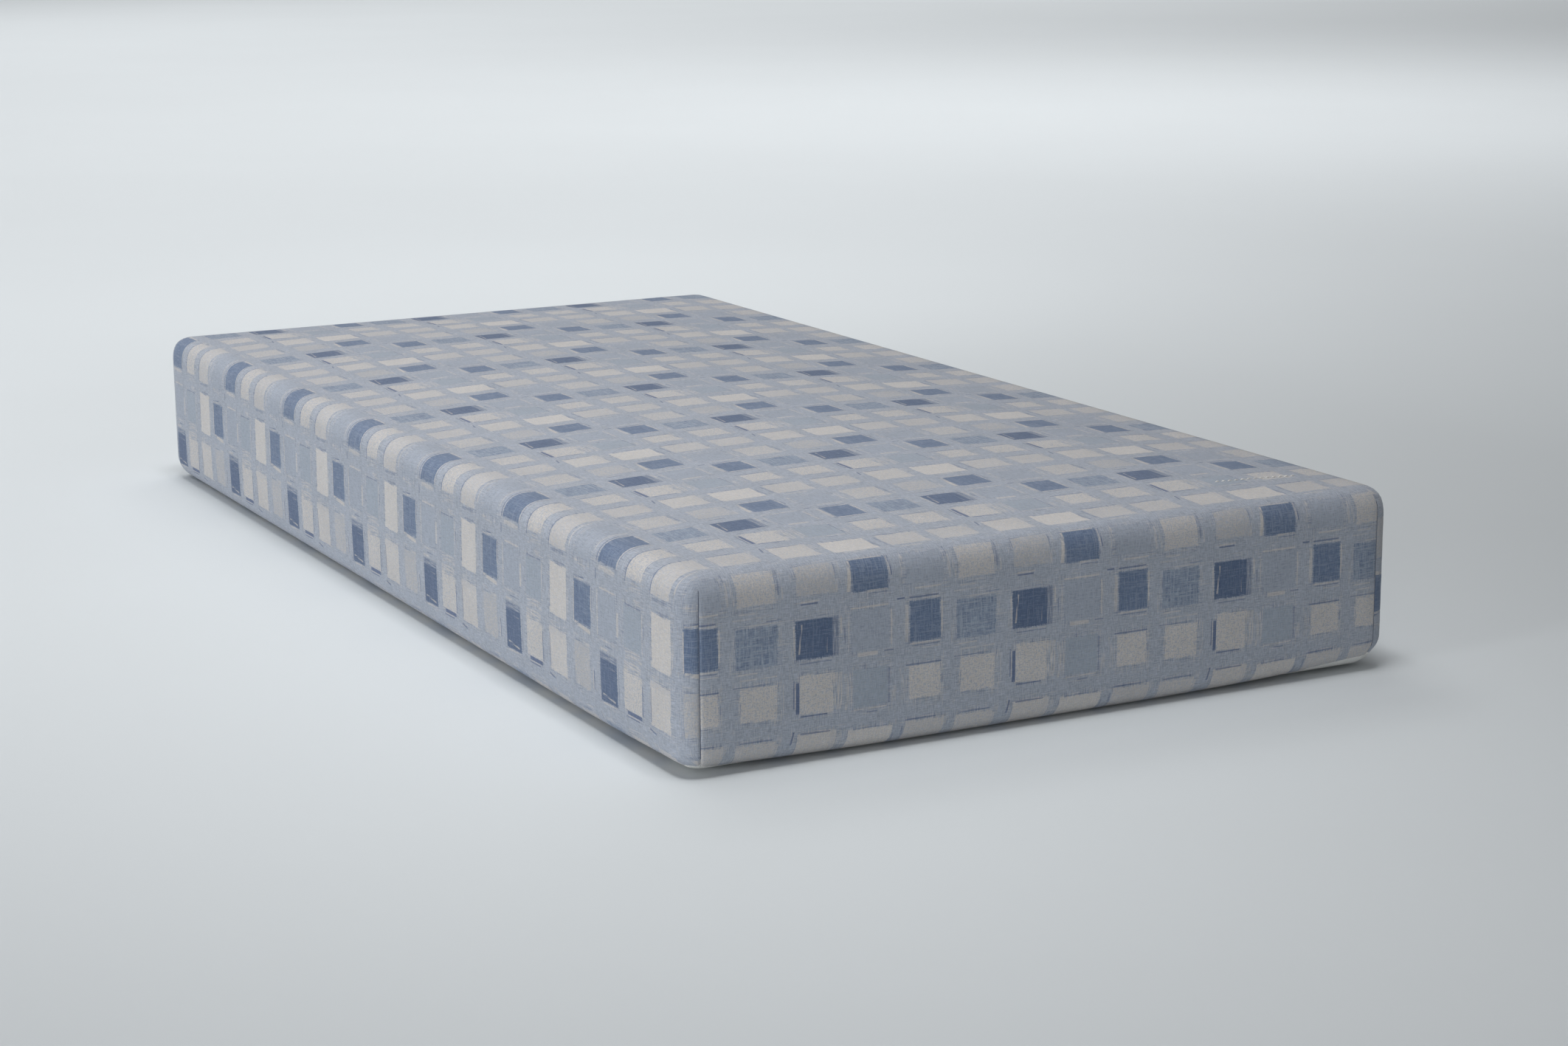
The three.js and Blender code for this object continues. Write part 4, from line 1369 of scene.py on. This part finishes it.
sleeve_inset = HALF_WIDTH - sleeve_high.x
sleeve_rise = HEIGHT - sleeve_high.z
foam_inset = HALF_WIDTH - foam_high.x
foam_rise = HEIGHT - foam_high.z
both = ("top", "bottom")
foams = (
    ("memory_foam", (0.83, 0.77, 0.60), 1.2),
    ("transition_foam", (0.52, 0.66, 0.74), 1.6),
    ("base_foam", (0.86, 0.85, 0.80), 2.0),
)
for node, colour, pore in foams:
    foam = make_inner(
        node + "_slab", node, foam_inset, foam_rise, foam_material(node, colour, pore), both,
    )
for node, cap in (("sleeve_upper", "top"), ("sleeve_lower", "bottom")):
    knit = make_inner(node + "_knit", node, sleeve_inset, sleeve_rise, SLEEVE_KNIT, (cap,))


def make_sleeve_seam():
    low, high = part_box("sleeve_seam")
    surface = Surface(sleeve_inset, sleeve_rise, SLEEVE_SEAM_STEP, corner_step=15)
    ring = surface.ring_points((SLEEVE_SEAM_INSET, (low.z + high.z) / 2, 0.0))
    keep = np.linalg.norm(ring - np.roll(ring, 1, 0), axis=1) > 1e-6
    points, faces = tube(ring[keep], SLEEVE_SEAM_RADIUS, sides=6, closed=True)
    piece = make_object("sleeve_seam_thread", points, faces)
    dress(piece, SLEEVE_THREAD, replaces=["sleeve_seam"])


make_sleeve_seam()


# ---------------------------------------------------------------------------
# Stage: floor, light and camera
# ---------------------------------------------------------------------------

FLOOR_HALF = 40.0
CAMERA_AZIMUTH = math.radians(27.55)
CAMERA_TILT = math.radians(12.69)
CAMERA_ROLL = math.radians(-0.49)
CAMERA_DISTANCE = 4.3175
CAMERA_LENS = 69.62
AIM_RIGHT = 0.1256
AIM_UP = -0.0632
SENSOR_WIDTH = 36
CLIP_END = 200
AMBIENT_STRENGTH = 0.12


def make_floor():
    signs = ((-1, -1), (1, -1), (1, 1), (-1, 1))
    points = [(x * FLOOR_HALF, y * FLOOR_HALF, 0) for x, y in signs]
    floor = make_object("floor", points, [(0, 1, 2, 3)])
    book = Book("floor", roughness=0.9, specular=0.1)
    x, y, _ = book.position_mm()
    cloud = book.noise(x / 900.0, y / 900.0, 5.0)
    floor.data.materials.append(book.finish(book.shade((0.711, 0.75, 0.774), 0.985 + cloud * 0.03)))


def make_camera():
    data = bpy.data.cameras.new("camera")
    data.lens = CAMERA_LENS
    data.sensor_width = SENSOR_WIDTH
    data.clip_end = CLIP_END
    camera = bpy.data.objects.new("camera", data)
    bpy.context.scene.collection.objects.link(camera)
    forward = Vector((
        math.sin(CAMERA_AZIMUTH) * math.cos(CAMERA_TILT),
        math.cos(CAMERA_AZIMUTH) * math.cos(CAMERA_TILT),
        -math.sin(CAMERA_TILT),
    ))
    right = Vector((math.cos(CAMERA_AZIMUTH), -math.sin(CAMERA_AZIMUTH), 0))
    up = right.cross(forward)
    aim = Vector((0, 0, HEIGHT / 2)) + right * AIM_RIGHT + up * AIM_UP
    camera.location = aim - forward * CAMERA_DISTANCE
    rolled_right = right * math.cos(CAMERA_ROLL) + up * math.sin(CAMERA_ROLL)
    rolled_up = up * math.cos(CAMERA_ROLL) - right * math.sin(CAMERA_ROLL)
    axes = [rolled_right, rolled_up, -forward]
    matrix = camera.matrix_world.copy()
    for column, axis in enumerate(axes):
        for line in range(3):
            matrix[line][column] = axis[line]
    for line in range(3):
        matrix[line][3] = camera.location[line]
    camera.matrix_world = matrix
    bpy.context.scene.camera = camera


def area_light(name, place, target, size, spread, power):
    data = bpy.data.lights.new(name, "AREA")
    data.shape = "SQUARE"
    data.size = size
    data.spread = math.radians(spread)
    data.energy = power
    light = bpy.data.objects.new(name, data)
    bpy.context.scene.collection.objects.link(light)
    light.location = place
    light.rotation_euler = (Vector(target) - Vector(place)).to_track_quat("-Z", "Y").to_euler()
    light.visible_camera = False


# Each lamp: its name, place, what it faces, its size, how wide its beam is and its power.
LAMPS = (
    ("low_left", (-8.0, -2.0, 1.2), (0.0, 0.0, 0.1), 1.6, 180, 222),
    ("front_left", (-5.0, -7.0, 1.8), (0.0, -1.0, 0.1), 1.6, 180, 52),
    ("left", (-3.0, 2.0, 3.0), (-3.0, 2.01, 0.0), 1.8, 110, 29),
    ("right", (1.0, 2.0, 3.0), (1.0, 2.01, 0.0), 1.8, 110, 11),
    ("over", (-0.5, -1.2, 6.0), (-0.5, -1.19, 0.0), 1.8, 110, 42),
    ("over_foot", (-0.5, -1.2, 3.0), (-0.5, -1.19, 0.0), 0.9, 60, 1.8),
    ("over_middle", (-0.5, 0.0, 3.0), (-0.5, 0.01, 0.0), 0.9, 60, 1.8),
    ("behind_left", (-1.0, 5.0, 7.0), (-1.0, 5.01, 0.0), 4.2, 90, 58),
    ("behind_right", (5.0, 5.0, 7.0), (5.0, 5.01, 0.0), 4.2, 90, 84),
    ("far_left", (1.0, 12.0, 11.0), (1.0, 12.01, 0.0), 6.6, 110, 390),
    ("far_right", (11.0, 16.0, 11.0), (11.0, 16.01, 0.0), 6.6, 130, 480),
)


def make_light():
    world = bpy.data.worlds.new("studio")
    world.use_nodes = True
    background = world.node_tree.nodes["Background"]
    background.inputs["Color"].default_value = (1.0, 1.0, 1.0, 1.0)
    background.inputs["Strength"].default_value = AMBIENT_STRENGTH
    bpy.context.scene.world = world
    for lamp in LAMPS:
        area_light(*lamp)


make_floor()
make_camera()
make_light()
bpy.context.scene.view_settings.view_transform = "Standard"
